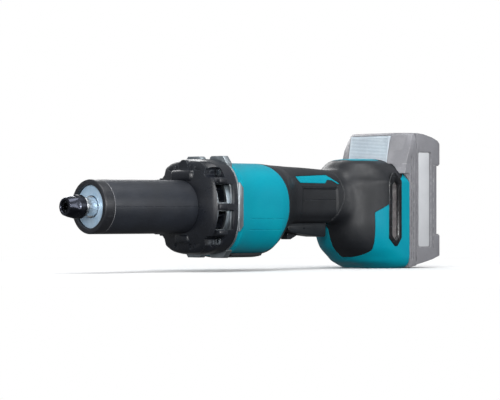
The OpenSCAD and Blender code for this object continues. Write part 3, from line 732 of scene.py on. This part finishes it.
def make_barrel():
    """The plastic sleeve, with a mould line down each side and a step at each end."""
    low, high = cad("barrel_sleeve")
    x0, x1, r = low[0], high[0], high[2]
    inner, edge, line_depth, line_half = r - 1.5, 0.45, 0.22, 0.011
    lines = (0.0, math.pi)
    turns = list(round_angles(240))
    turns += [line + k * line_half for line in lines for k in range(-2, 3)]
    rings = []
    for t in sorted({round(t % (2 * np.pi), 6) for t in turns}):
        off = min(abs((t - line + np.pi) % (2 * np.pi) - np.pi) for line in lines)
        outer = r - line_depth * max(0.0, 1 - off / line_half)
        steps = [(0, inner), (0, outer - edge), (edge, outer - 0.06), (edge * 2, outer)]
        profile = [(x0 + x, reach) for x, reach in steps] + [(x1 - x, reach) for x, reach in reversed(steps)]
        rings.append([(x, reach * math.cos(t), reach * math.sin(t)) for x, reach in profile])
    finish_piece(loft("sleeve", rings, True), "housing", "barrel", "barrel_sleeve")


# ---- fan cover ----

# The four screws' distance from the spindle's axis, sideways and up or down
BOLT_AT = 28.8
# Distance from the cover's front and its radius there, before it turns squarish
BELL = [(0.0, 22.7), (0.5, 25.5), (1.4, 29.5), (2.8, 33.6), (4.6, 37.0), (6.8, 39.4), (9.5, 41.0),
        (27.5, 42.0)]


def cover_skin(x0, depth):
    """The bell of the cover, squared off by the oval of the motor."""
    stations = through(BELL, 56)
    stations[:, 0] *= depth / stations[-1, 0]
    shape = np.array(oval(41.4, 40.4, 40.4, 2.9, 224))
    reach = np.linalg.norm(shape, axis=1)
    aim = shape / reach[:, None]
    rings = []
    for x, r in stations:
        squared = step(x, 1.5, 8.5)
        radii = r * (1 - squared) + (reach - 1.2 * (1 - step(x, 7, 14))) * squared
        radii = np.minimum(radii, 41.4 + 0.75 * max(0.0, x - 8.0))
        rings.append([(x0 + x, a[0] * n, a[1] * n) for a, n in zip(aim, radii)])
    return loft("cover_shell", rings)


def window_cutter(side, x, z):
    """A rounded window through a side wall that widens towards the outside."""
    wall, flare = 40.9, 0.45
    rings = []
    for y, size in ((24, 0), (wall - flare, 0), (wall + 0.2, flare), (50, flare)):
        limits = (x[0] - size, x[1] + size), (z[0] - size, z[1] + size)
        rings.append([(a, side * y, b) for a, b in rounded_rectangle(*limits, 0.9 + size * 0.6)])
    return loft("window", rings)


def rounded_block(x, y, z, radius):
    return soften(block("pad", x, y, z), radius, 4)


def make_fan_cover():
    """The cover: a bell with bosses, windows and pads at the sides, and a pocket for each corner screw."""
    low, high = cad("fan_cover")
    x0, x1 = low[0], high[0]
    cover = cover_skin(x0, x1 - x0)
    bore = [(x0 - 1, 0.01), (x0 - 1, 21.1), (x0 + 4.1, 21.1), (x0 + 4.1, 35.6), (x0 + 5.2, 36.9),
            (x1 + 1, 36.9), (x1 + 1, 0.01)]
    fuse(cover, rounded_block((x0 - 1.2, x0 + 9.5), (-14.2, 14.2), (20.4, 31.6), 4.2))
    fuse(cover, rounded_block((x0 - 0.4, x0 + 6), (-9, 9), (-30.8, -22.6), 2.6))
    fuse(cover, rod("catch", "x", (0, 34.4), 5.4, x0 + 2.5, x0 + 15, 40))
    core = rod("core", "x", (0, 0), 37.1, x0 - 8, x1, 96)
    for side in BOTH:
        for z in ((3.0, 19.4), (-19.4, -3.0)):
            cut(cover, window_cutter(side, (x0 + 5.8, x0 + 22.8), z))
        for z in ((30.8, 37.8), (-37.8, -30.8)):
            y = span(side, 13.5, 20.6)
            cut(cover, prism("hole", rounded_rectangle(y, z, 1.6), "x", x0 - 5, x0 + 3.9))
            y = span(side, 7.2, 11.2)
            cut(cover, prism("gap", rounded_rectangle(y, z, 1.2), "x", x0 - 5, x0 + 3.9))
        for z in (-21.6, 0.0, 21.6):
            tall = 1.9 if z else 2.3
            y = span(side, 37.2, 42.2)
            fuse(cover, rounded_block((x0 + 6.2, x0 + 15.5), y, (z - tall, z + tall), 0.9))
        for end in BOTH:
            y, z = span(side, 25.2, 50), span(end, 24.6, 33.4)
            corner = prism("corner", rounded_rectangle(y, z, 2.4, 8), "x", x0 - 5, x0 + 15.9)
            combine(corner, core, "DIFFERENCE", keep_other=True)
            at = (side * BOLT_AT, end * BOLT_AT)
            pocket = rod("pocket", "x", at, 4.0, x0 + 15, x0 + 19.9)
            cut(cover, corner, pocket, rod("screw_hole", "x", at, 2.1, x0, x1 + 1))
    bpy.data.objects.remove(core)
    cut(cover, turned("bore", bore))
    finish_piece(cover, "housing", "black", "fan_cover", sharp=28)


# ---- bearing plate and motor ----

# How much of the plate's edge shows ahead of the teal housing, and its lug halfway up each side (x, z)
RIM = 1.3
SIDE_LUG = [(0.2, -20.5), (1.3, -20.5), (5.2, -16), (5.2, 16), (1.3, 20.5), (0.2, 20.5)]


def bolt_holes(piece, x0, x1):
    """The four screws' holes through a piece."""
    for y in (-BOLT_AT, BOLT_AT):
        for z in (-BOLT_AT, BOLT_AT):
            cut(piece, rod("hole", "x", (y, z), 2.05, x0, x1, 24))


def make_bearing_plate():
    low, high = cad("bearing_plate")
    x0, x1 = low[0] + 1, high[0] - 1
    plate = prism("plate", oval(42.2, 40.8, 41.0, 2.9), "x", x0, x0 + RIM)
    fuse(plate, prism("step", oval(40.6, 37.4, 39.4, 2.9), "x", x0 + RIM - 0.5, x1))
    for side in BOTH:
        lug = prism("side_lug", SIDE_LUG, "y", *span(side, 30, 42.35))
        lug.location = (x0 * MM, 0, 0)
        bpy.context.view_layer.update()
        fuse(plate, lug)
    for side in BOTH:
        lug = [(6, -42), (8, -43.2), (22, -43.2), (27, -37), (27, 37), (22, 43.2), (8, 43.2), (6, 42)]
        fuse(plate, prism("lug", [(side * y, z) for y, z in lug], "x", x0, x1))
    fuse(plate, rod("hub", "x", (0, 0), 14, x0 - 1, x1 + 1))
    cut(plate, rod("bore", "x", (0, 0), 11.02, x0 - 2, x1 + 2, 72))
    for i in range(8):
        turn = math.radians(45 * i + 22.5)
        cut(plate, rod("vent", "x", (22.5 * math.sin(turn), 22.5 * math.cos(turn)), 5.2, x0 - 2, x1 + 2))
    bolt_holes(plate, x0 - 2, x1 + 2)
    soften(plate, 0.35, 2, 35)
    finish_piece(plate, "housing", "cast", "bearing_plate", slot="aluminium", sharp=35)


def motor_edge(z, shift=0.0):
    """Where the teal housing gives way to the handle's rubber, further back at mid height."""
    return 214 - 12.2 * (z / 38) ** 2 + shift


def edge_prism(name, far_x, shift=0.0, cap=0.0):
    """Everything between the curved edge of the motor housing and far_x."""
    heights = np.linspace(-50, 50, 51)
    curve = [(min(motor_edge(z, shift), 213.95 + cap), z) for z in heights]
    return prism(name, [(far_x, -50)] + curve + [(far_x, 50)], "y", -60, 60)


def oval_rings(rows, inset, count):
    """Ovals through rows such as NECK's, drawn in all round by inset."""
    ovals = [oval(r[1] - inset, r[2] - inset, r[3] - inset, r[4], count, r[5]) for r in rows]
    return [[(row[0], *p) for p in ring] for row, ring in zip(rows, ovals)]


def motor_rings(inset, x0, x1):
    """The motor's oval, which tapers into the neck at its rear."""
    rows = [(x0, *NECK[0][1:]), (180, *NECK[0][1:])] + [tuple(r) for r in through(NECK[:6], 60) if r[0] < x1]
    return oval_rings(rows, inset, 200)


def make_lip(x1, half_w):
    """The housing's thin front edge, which laps over the bearing plate and leaves room for its lugs."""
    plate_x = cad("bearing_plate")[0][0] + 1
    x0 = plate_x + RIM + 0.05
    lip = prism("lip", oval(half_w + 0.5, 38.1, 41.5, 2.8, 200), "x", x0, x1 + 0.6)
    cut(lip, prism("inside", oval(40.75, 37.5, 39.6, 2.9), "x", x0 - 1, x1 + 2))
    cut(lip, block("lug_gap", (x0 - 1, x1 - 0.05), (-27.4, 27.4), (-60, 60)))
    for side in BOTH:
        gap = [(plate_x + x, z) for x, z in grown(SIDE_LUG, 0.15)]
        cut(lip, prism("side_gap", gap, "y", *span(side, 30, 60)))
    return lip


def make_motor_housing():
    """The teal housing: a flange behind the plate, a long oval body, a pocket and two fine lines a side."""
    low, high = cad("motor_housing")
    x0, x1, half_w = low[0], high[0], high[1]
    shell = loft("motor_shell", motor_rings(0, x0 + 0.05, x1))
    flange = [(x0 + 0.05, 0.5), (x0 + 0.5, 0.95), (x0 + 3.6, 0.95), (x0 + 7.2, -0.3)]
    fuse(shell, loft("flange", [[(x, *p) for p in oval(half_w + o, 37.6 + o, 41 + min(o, 0.6), 2.8, 200)]
                                for x, o in flange]))
    fuse(shell, make_lip(x0, half_w))
    for side in BOTH:
        pocket = rounded([(x0 + 8, 15), (x0 + 8.6, 25), (x0 + 15.5, 25), (x0 + 14, 15)], 1.4)
        cut(shell, prism("pocket", pocket, "y", *span(side, 39.4, 60)))
        for z in (-10.0, -19.5):
            groove(shell, side, [(x0 + 9, z), (x1 - 6, z)], 0.4, 0.16)
    cut(shell, edge_prism("beyond", x1 + 20, -0.15))
    fuse(shell, loft("core", motor_rings(1.35, x0 + 4, x1)))
    cut(shell, turned("bore", [(x0 - 1, 0.01), (x0 - 1, 33.4), (x1 - 8, 33.4), (x1 - 8, 11), (x1 + 1, 11),
                               (x1 + 1, 0.01)], 96))
    bolt_holes(shell, x0 - 2, x0 + 19)
    finish_piece(shell, "housing", "teal", "motor_housing", sharp=28)


def make_motor_pad():
    """The rubber pad under the motor, ribbed along its length."""
    low, high = cad("housing_pad")
    x0, x1, y1 = low[0], 206.0, high[1]
    skin = loft("motor_pad", [[(x, *p) for p in oval(41.4, 37.6, -low[2] - drop, 2.8, 240)]
                              for x, drop in ((x0, 1.2), (x0 + 1.6, 0.0), (x1 - 4, 0.0), (x1, 0.3))])
    combine(skin, block("keep", (x0 - 1, x1 + 1), (-y1, y1), (-60, -30)), "INTERSECT")
    cut(skin, loft("core", motor_rings(0.02, x0 - 1, x1 + 4)), edge_prism("beyond", x1 + 20, -0.1))
    for y in np.arange(-15, 15.1, 5):
        cut(skin, block("line", (x0 + 6, x1 - 12), (y - 0.5, y + 0.5), (-60, low[2] + 0.5)))
    finish_piece(skin, "housing", "rubber", "housing_pad", sharp=35)


# ---- handle ----

# Motor's tail and neck: x, half width, top, bottom, squareness above and below
NECK = [(198, 40.5, 37.6, 41, 2.8, 2.8), (204, 40.5, 37.6, 41, 2.8, 2.75), (209, 40.1, 37.3, 39.8, 2.8, 2.4),
        (214, 39.2, 36.9, 38, 2.8, 2.1), (219, 36.8, 36.6, 32.5, 2.7, 2), (226, 32, 36.4, 26, 2.6, 2.1),
        (231, 28.8, 36.2, 21.5, 2.6, 2.3), (236, 26.3, 36, 17.4, 2.6, 2.5), (241, 24.8, 35.7, 15.3, 2.6, 2.7),
        (262, 22.8, 34.9, 15, 2.9, 2.9), (284, 22.3, 33.7, 15, 2.9, 2.9), (300, 23, 33, 16, 2.7, 2.7),
        (312, 27, 34, 20, 2.5, 2.5), (318, 29, 34, 22, 2.5, 2.5)]
# Foot: z, front, half width, front radius
FOOT = [(-54.5, 337, 33, 24), (-52, 331, 37.5, 30), (-48.5, 321.5, 39.8, 37), (-44, 315.5, 40.8, 39.5),
        (-35.5, 305.8, 41, 40), (-26, 301, 41, 40), (-15, 299, 41, 40), (22, 300, 41, 38),
        (30, 302.8, 37, 34.5), (36, 307, 31.5, 28.5), (40, 310.5, 26.5, 23.5), (42.5, 316, 19, 16),
        (43.5, 323, 12, 10)]
GRIP_T, SHELL_T, SEAM = 1.2, 2.0, 0.3
# Handle screws: x, z and the depth of the head's seat
SCREWS = [(230, 29, 18), (296, 26.6, 13), (321.5, -36, 25.4), (350, -46, 35), (349.5, 33, 24)]
GRIP_AREA = [(190, 60), (312, 60), (316, 41.6), (343, 41.6), (347.4, 60), (356.6, 60), (356.6, 29.4),
             (351, 25), (347, 29), (340, 29), (337, 24.5), (337, 3.5), (321.4, -4.5), (322.6, -38.5),
             (318, -44.6), (190, -44.6)]
STRIPE = [(239.5, 26.8), (280, 28.5), (294, 20.6), (291, 20.6), (285, 23.7), (279, 24), (276, 20.9),
          (243.5, 21.2)]
DUST_OUTLINE = [(343.5, 31), (351.5, 24), (351.5, -27.5), (346, -34.5), (342.6, -34.5), (335.6, -27.5),
                (335.6, 24), (340, 31)]
DUST_SLOT = [(343.7, 23.5), (347, 19.5), (347, -25), (344, -28.5), (340.4, -25), (340.4, 19.5)]


def foot_plan(front, half_w, radius, rear):
    """Outline (x, y) of the foot seen from above: straight rear and sides, and a rounded front."""
    near = arc((front + radius, half_w - radius), radius, 90, 180, 24)
    far = arc((front + radius, radius - half_w), radius, 180, 270, 24)
    return [(rear, -half_w), (rear, half_w)] + near + far


def neck_form(name, inset=0.0):
    return loft(name, oval_rings(through(NECK, 90), inset, 160))


def foot_form(name, rear, inset=0.0):
    rings = []
    for z, front, half_w, radius in through(FOOT, 110):
        lift = inset if z < -45 else -inset if z > 35 else 0
        plan = foot_plan(front + inset, half_w - inset, radius - inset, rear)
        rings.append([(x, y, z + lift) for x, y in plan])
    return loft(name, rings)


def handle_form(rear):
    """Neck and foot blended into one skin, with the side panels of the neck pressed in."""
    form = fuse(neck_form("handle_form"), foot_form("foot", rear + 5))
    modify(form, "REMESH", mode="VOXEL", voxel_size=0.9 * MM)
    everywhere = np.ones(len(form.data.vertices))
    relax(form, everywhere, 3, hold_size=True)
    x, y, z = points_of(form).T
    near_foot = step(x, 284, 296) * (1 - step(x, 318, 332)) * (1 - step(np.abs(y), 34, 40))
    relax(form, near_foot * step(z, -36, -26) * (1 - step(z, 31, 37)), 90)
    co, normals = points_of(form), vectors_of(form, "normal")
    x, y, z = co.T
    inside = np.minimum.reduce([x - (243.5 + 0.12 * z), 290 - x, z + 12.5, 17.0 - z])
    sideways = step(np.abs(normals[:, 1]), 0.45, 0.75)
    set_points(form, co - normals * (0.95 * step(inside, 0, 1.5) * sideways)[:, None])
    return form


def handle_openings(rear):
    """Cutters for the paddle, the dial, the rail, the battery's overhang, the screws and the dust covers."""
    chamfer = [(356.8, 60), (356.8, 29), (rear + 0.1, 22), (rear + 9, 22), (rear + 9, 60)]
    cutters = [
        prism("paddle_window", rounded_rectangle((237, 288.4), (-12.2, 12.2), 1.5), "z", -60, -9),
        block("dial_slot", (324.4, 341.6), (-4.3, 4.3), (20, 60)),
        block("rail_opening", (354, rear + 9), (-37, 37), (cad("battery_rail")[0][2], 60)),
        block("overhang", (347.4, rear + 9), (-60, 60), (38.6, 60)),
        prism("rear_chamfer", chamfer, "y", -60, 60),
        block("rear_end", (rear, rear + 12), (-60, 60), (-80, 80)),
    ]
    for x, z, y in SCREWS:
        cutters.append(rod("screw", "y", (x, z), 3.4, y, 60, 40))
    for side in BOTH:
        cutters.append(prism("dust_pocket", grown(DUST_OUTLINE, 0.25), "y", *span(side, 38.6, 60)))
        cutters.append(prism("dust_slot", grown(DUST_SLOT, 1), "y", *span(side, 34, 60)))
    return cutters


def grip_space(by):
    """What lies inside the rubber's outline: grown by a distance, with the stripe left out."""
    space = prism("grip_space", rounded(grown(GRIP_AREA, by), 1.6), "y", -70, 70)
    cut(space, prism("stripe", rounded(grown(STRIPE, -by), 0.8), "y", -71, 71))
    return cut(space, block("front_right", (280, 322 - by), (SEAM * 0.3, 70), (-70, -17 - by)))


def halves(piece, stem, finish, node_stem):
    """Splits a piece down the middle plane, with a fine seam between the halves."""
    for name, side in SIDES.items():
        half = copy_of(piece, f"{stem}_{name}")
        keep = block("keep", (150, 420), span(side, SEAM * 0.3, 90), (-90, 90))
        combine(half, keep, "INTERSECT")
        finish_piece(half, "housing", finish, f"{node_stem}_{name}", sharp=30)
    bpy.data.objects.remove(piece)


def make_handle():
    """The two teal shells and the rubber moulded over them, cut from one blended form."""
    rear = cad("handle_left")[1][0]
    form = handle_form(rear)
    for side in BOTH:
        collar = [(291, 34), (295, 26), (297.4, 15), (296.4, 6), (293, -1), (288.5, -8), (284.5, -14)]
        groove(form, side, collar, 0.5)
        groove(form, side, [(244.5, 17.4), (290, 17.4)], 0.5)
        groove(form, side, [(248, 6.5), (288, 6.5)], 0.35)
    core = offset_skin(copy_of(form, "core"), -GRIP_T)
    under = offset_skin(copy_of(form, "under"), -GRIP_T - 0.02)
    grip = copy_of(form, "grip_form")
    combine(grip, grip_space(-SEAM / 2), "INTERSECT")
    combine(grip, under, "DIFFERENCE")
    shell = cut(form, grip_space(SEAM / 2))
    fuse(shell, core)
    hollow = GRIP_T + SHELL_T
    cut(shell, neck_form("neck_hollow", hollow), foot_form("foot_hollow", rear + 5, hollow))
    for side in BOTH:
        fuse(shell, block("pin_boss", (240, 250), span(side, 12.2, 15.5), (-12.8, -8)))
        fuse(shell, block("dial_boss", (328.5, 337.5), span(side, 4.3, 9), (30, 39)))
    cut(shell, *handle_openings(rear), block("front_end", (180, 214.05), (-60, 60), (-80, 80)))
    cut(grip, *handle_openings(rear), edge_prism("before", 180, 0.15, 9))
    halves(shell, "handle_shell", "teal", "handle")
    halves(grip, "handle_grip", "rubber", "grip")


def make_handle_screws():
    """The screws that hold the halves together, driven from the right, with six-lobed recesses."""
    screws = None
    for x, z, seat in SCREWS:
        head = soften(rod("handle_screw_set", "y", (x, z), 2.9, seat, seat + 2.2, 24), 0.5, 3, 40)
        fuse(head, rod("shank", "y", (x, z), 1.45, -8, seat + 0.5, 24))
        lobes = []
        for t in round_angles(36):
            reach = 1.25 + 0.3 * math.cos(6 * t)
            lobes.append((x + reach * math.cos(t), z + reach * math.sin(t)))
        cut(head, prism("recess", lobes, "y", seat + 0.8, seat + 3))
        screws = head if screws is None else fuse(screws, head)
    finish_piece(screws, "housing", "screw", "handle_screws", slot="steel", sharp=35)


def make_dust_covers():
    """The black frames on the foot and the woven wire behind them."""
    deep, proud = 38.6, 41.1
    for name, side in SIDES.items():
        cover = prism(f"dust_frame_{name}", rounded(DUST_OUTLINE, 0.8, 3), "y", *span(side, deep, proud))
        rings = []
        for y, by in ((deep - 1, 0.0), (proud - 1.2, 0.0), (proud + 0.2, 1.2), (50, 1.2)):
            rings.append([(x, side * y, z) for x, z in grown(DUST_SLOT, by)])
        cut(cover, loft("opening", rings))
        soften(cover, 0.45, 3)
        finish_piece(cover, "housing", "frame", f"dust_cover_{name}", slot="black_plastic")
        weave = outward(make_weave(f"dust_weave_{name}", side))
        finish_piece(weave, "housing", "mesh", f"dust_mesh_{name}", slot="dust_mesh")


def make_weave(name, side):
    """Two sets of wires that pass over and under each other."""
    pitch, wire_r, wave, middle, sides = 0.75, 0.2, 0.17, side * 38.15, 5
    xs, zs = np.arange(340.0, 347.6, pitch), np.arange(-29.2, 24.4, pitch)
    rings, faces = [], []
    for places, along, upright in ((xs, zs, True), (zs, xs, False)):
        fine = np.linspace(along[0], along[-1], len(along) * 2 - 1)
        for i, place in enumerate(places):
            phase = math.pi * (i if upright else i + 1)
            faces += [tuple(len(rings) * sides + k for k in f) for f in tube_faces(len(fine), sides)]
            for at in fine:
                y = middle + wave * math.cos(math.pi * (at - fine[0]) / pitch + phase)
                ring = arc((place, y), wire_r, 0, 360 - 360 / sides, sides)
                rings.append([(a, b, at) if upright else (at, b, a) for a, b in ring])
    return solid(name, [p for ring in rings for p in ring], faces)


# ---- paddle ----


def make_paddle():
    """The paddle: a thin-walled shoe with a finger rest along its underside."""
    half_w = cad("paddle")[1][1]
    outside = rounded([(238.4, -15.5), (238.4, -19.6), (240.5, -21.6), (248, -22.7), (283.6, -26.3),
                       (285, -25.2), (285, -15.3)], 1.0, 4)
    paddle = prism("paddle_shoe", outside, "y", -half_w, half_w)
    soften(paddle, 0.8, 3, 40)
    inside = [(240.4, -10), (240.4, -19.4), (248, -20.6), (283, -24.1), (283, -10)]
    cut(paddle, prism("inside", inside, "y", -9.5, 9.5))
    ear = [(240.8, -16), (241.6, -10.1), (243.8, -8.1), (246.2, -8.1), (248.4, -10.1), (249.6, -12.4),
           (285, -12.4), (285, -16)]
    for side in BOTH:
        fuse(paddle, prism("ear", rounded(ear, 0.8), "y", *span(side, 9.5, half_w)))
    cut(paddle, rod("pivot", "y", (245, -11.2), 1.55, -13, 13, 32))
    cut(paddle, rod("lever_pivot", "y", (258, -18.6), 1, -13, 13, 24))
    cut(paddle, block("lever_slot", (241.6, 262), (-4.3, 4.3), (-40, -15)))
    finish_piece(paddle, "paddle", "paddle", "paddle", sharp=35)


# ---- battery ----

CASE_SCREWS = [(-36.2, -26), (36.2, -26), (-36.2, 36), (36.2, 36)]
PAD_TOP, PAD_LOW = 41, -27.4
RECESS = 3.4


def pack_side(split, rear, inset=0.0):
    """The rear case from the side: its top and bottom slope in towards the rear."""
    end = rear - inset
    return [(split, 66.9 - inset), (380, 66 - inset), (391, 63.4 - inset), (398.5, 60.4 - inset),
            (end - 0.6, 56.5), (end, 53), (end, -38.5), (end - 1.4, -43.5 + inset), (392, -46.8 + inset),
            (380, -49.6 + inset), (split, -51.4 + inset)]


def pack_plan(split, rear, half_w, radius):
    near = arc((rear - radius, radius - half_w), radius, -90, 0, 6)
    far = arc((rear - radius, half_w - radius), radius, 0, 90, 6)
    return [(split, half_w), (split, -half_w)] + near + far


def pack_block(name, split, rear, half_w, radius, inset=0.0):
    piece = prism(name, pack_plan(split, rear, half_w, radius), "z", -60, 80)
    return combine(piece, prism("profile", pack_side(split, rear, inset), "y", -45, 45), "INTERSECT")


def room_for(node, gap):
    """Limits along Y and Z of an opening round a node."""
    low, high = cad(node)
    return (low[1] - gap, high[1] + gap), (low[2] - gap, high[2] + gap)


def make_rear_case():
    low, high = cad("battery_tub")
    split, rear, half_w = low[0], high[0], high[1]
    case = pack_block("rear_case", split + 0.1, rear - RECESS, half_w, 4)
    pads = pack_block("pads", split + 10, rear, half_w, 3)
    low_side, top_side = PAD_LOW + RECESS, PAD_TOP - RECESS
    middle = [(split, low_side), (rear - RECESS, low_side), (rear + 1, PAD_LOW - 0.6),
              (rear + 1, PAD_TOP + 0.6), (rear - RECESS, top_side), (split, top_side)]
    fuse(case, cut(pads, prism("between", middle, "y", -50, 50)))
    soften(case, 0.8, 3, 22)
    for side in BOTH:
        proud = span(side, half_w - 0.45, 50)
        recess = rounded_rectangle((split + 1.9, split + 19), (-36, 50), 2.0)
        cut(case, prism("label_recess", recess, "y", *proud))
        cut(case, block("line", (split + 21.6, split + 22.2), proud, (-38, 40)))
        for z in (top_side + 0.6, low_side - 0.6):
            cut(case, block("line", (split + 21.6, rear + 1), proud, (z - 0.3, z + 0.3)))
    cut(case, pack_block("hollow", split - 1, rear - RECESS - 2.4, half_w - 2.4, 3, 2.4))
    for at in CASE_SCREWS:
        fuse(case, rod("boss", "x", at, 2.7, split, split + 13, 32))
        cut(case, rod("thread", "x", at, 1.3, split - 1, split + 12, 24))
    back = (rear - RECESS - 4, rear + 2)
    cut(case, block("check_hole", back, *room_for("check_button", 0.4)))
    for y in range(-16, 0, 5):
        cut(case, block("lamp_hole", back, (y, y + 3), (29.5, 32.5)))
    finish_piece(case, "battery", "pack", "battery_tub", sharp=30)
    for name, side in SIDES.items():
        outline = rounded_rectangle((split + 2.5, split + 16.4), (-35.4, 49.4), 1.6)
        plate = prism(f"blank_label_{name}", outline, "y", *span(side, half_w - 0.4, half_w - 0.12))
        soften(plate, 0.1, 2, 40)
        finish_piece(plate, "battery", "label", slot="pack_plastic")


# Height, front, and the three corners (x, y) of the front case's facets there
FACETS = [
    (30.5, 347.6, (348.0, 26.0), (350.6, 34.6), (355.5, 41)),
    (39, 348.7, (349.6, 26.0), (353.4, 34.4), (357.4, 41)),
    (52, 351.4, (355.2, 29.0), (359.8, 34.2), (361.0, 41)),
    (60.5, 353.3, (358.6, 30.8), (363.2, 34.6), (364.8, 40)),
    (65.2, 355.2, (360.8, 32.4), (365.6, 35.2), (367.6, 38)),
    (67.1, 358.4, (363.0, 32.0), (367.0, 34.4), (369.0, 36.6)),
]


def facet_ring(row, split, half_w):
    """Plan of the front case's upper part at one height."""
    z, front, *corners = row
    side = min(half_w, corners[-1][1] + (split - corners[-1][0]) * 0.35)
    half = [(front, 24.8), *corners, (split, side)]
    return [(x, -y, z) for x, y in half] + [(x, y, z) for x, y in reversed(half)]


def front_skirt(split, half_w):
    """The foot of the facets, which reaches down round the handle's shoulders and beside the rail."""
    skirt = loft("skirt", [facet_ring(row, split, half_w) for row in FACETS[:2]])
    rail = block("rail_space", (353.9, 362.3), (-37.05, 37.05), (0, 36.2))
    shoulder = foot_form("shoulder", 357.2, -0.4)
    cut(skirt, shoulder, rail, block("front_space", (340, 362), (-24.9, 24.9), (0, 38.9)))
    for side in BOTH:
        cheek = [(357.5, 31), (357.5, 29.8), (362.3, 23), (364, 23), (364, 31)]
        fuse(skirt, prism("cheek", cheek, "y", *span(side, 37.4, half_w - 1.0)))
    return skirt


def make_front_case():
    """The front case with faceted corners, the button's window and the slots for the rail."""
    high = cad("battery_front")[1]
    split, half_w = high[0] - 0.1, high[1]
    case = loft("front_case", [facet_ring(row, split, half_w) for row in FACETS[1:]])
    lower = [(362, 40), (362, -54), (split, -52.2), (split, 40)]
    fuse(case, prism("lower", lower, "y", -half_w, half_w))
    soften(case, 0.5, 3, 12)
    fuse(case, front_skirt(split, half_w))
    for side in BOTH:
        proud = span(side, half_w - 0.6, 50)
        for x in (364.0, 366.9):
            cut(case, block("line", (x, x + 0.7), proud, (-47, 46)))
    for side in BOTH:
        cut(case, block("rail_neck", (361, 364.3), span(side, 25.7, 30.3), (-55, 37)))
        cut(case, block("rail_lip", (363.7, 366.8), span(side, 25.7, 33.3), (-55, 37)))
        cut(case, rod("spring_bore", "x", (side * 14, 52), 3.4, 360, 368.4, 32))
    cut(case, block("terminal_pocket", (361, 364.4), (-22.4, 22.4), (-55, 11)))
    for y in range(-16, 17, 8):
        cut(case, block("blade_slot", (364, 369), (y - 1.5, y + 1.5), (-55, 8)))
    cut(case, block("button_window", (340, 361.4), *room_for("release_button", 0.3)))
    for at in CASE_SCREWS:
        cut(case, rod("counterbore", "x", at, 2.6, 361, 365.5, 32))
        cut(case, rod("hole", "x", at, 1.3, 361, split + 1, 24))
    cut(case, block("board_pocket", (split - 1.4, split + 1), (-30, 30), (12, 50)))
    finish_piece(case, "battery", "pack", "battery_front", sharp=20)


def make_release_button():
    """The release button, with fine level ribs up its sloping face."""
    low, high = cad("release_button")
    x1, z0, z1 = high[0], low[2], high[2]
    foot, head = (low[0] + 0.3, z0), (353.2, z1)
    count, proud = 19, 0.3
    face = []
    for i in range(count * 4 + 1):
        t = i / (count * 4)
        rise = proud * (0.5 - 0.5 * math.cos(2 * math.pi * t * count)) if 0.04 < t < 0.96 else 0.0
        face.append((foot[0] + (head[0] - foot[0]) * t - rise, foot[1] + (head[1] - foot[1]) * t))
    ribs = prism("release_slider", face + [(x1, z1), (x1, z0)], "y", low[1] + 1.6, high[1] - 1.6)
    border = [(foot[0] - 0.3, z0), (x1, z0), (x1, z1), (head[0] - 0.3, z1)]
    edge = prism("edge", border, "y", low[1], high[1])
    cut(edge, block("middle", (340, 360), (low[1] + 1.8, high[1] - 1.8), (30, 80)))
    soften(edge, 0.4, 3, 20)
    fuse(ribs, edge)
    for y in (-14, 14):
        cut(ribs, rod("spring_seat", "x", (y, 52), 2.9, 354.4, 357.5, 32))
    finish_piece(ribs, "release", "button", "release_button", sharp=25)


# ---- springs ----


def make_spring(name, node, body, axis, places, radius, wire_r, turns):
    """Springs at places across an axis, wound along the length of the CAD node they stand for."""
    low, high = cad(node)
    k = "xyz".index(axis)
    length = high[k] - low[k]
    springs = []
    for a, b in places:
        path = []
        for t in np.linspace(0, 1, turns * 16 + 1):
            turn = 2 * math.pi * turns * t
            u, v = a + radius * math.cos(turn), b + radius * math.sin(turn)
            along = low[k] + wire_r + (length - 2 * wire_r) * t
            path.append((along, u, v) if axis == "x" else (u, v, along))
        springs.append(sweep(name, path, wire_r, 10))
    spring = fuse(*springs)
    finish_piece(spring, body, "steel", node, slot="steel")
    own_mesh(spring)


def make_springs():
    """The paddle's return spring, and the two behind the battery's release button."""
    one, two = [(279, 0)], [(-14, 52), (14, 52)]
    make_spring("paddle_coil", "paddle_spring", "housing", "z", one, 3.2, 0.35, 7)
    make_spring("latch_coils", "latch_springs", "battery", "x", two, 2.2, 0.3, 6)


# ---- everything ----

add_camera()
add_world()
add_floor()
add_light("side", (0.35, -1.5, 0.35), (0.22, 0, 0), (1.4, 0.7), 11)
add_light("top", (0.1, -0.3, 1.2), (0.2, 0, 0), (1.2, 0.6), 10)
add_light("nose", (-1.4, -0.45, 0.35), (0.05, 0, 0), (0.8, 0.8), 9)
add_light("front", (-1.0, -1.3, 0.3), (0.15, 0, 0), (0.35, 0.35), 13)
add_light("back", (0.7, 1.3, 0.7), (0.25, 0, 0), (0.9, 0.7), 9)
bpy.context.scene.view_settings.view_transform = "Standard"

for finish, nodes in CAD_FINISHES.items():
    for node in nodes.split():
        dress(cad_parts[node], finish)

make_nut()
make_spindle()
make_nose()
make_barrel()
make_fan_cover()
make_bearing_plate()
make_motor_housing()
make_motor_pad()
make_handle()
make_handle_screws()
make_dust_covers()
make_paddle()
make_rear_case()
make_front_case()
make_release_button()
make_springs()
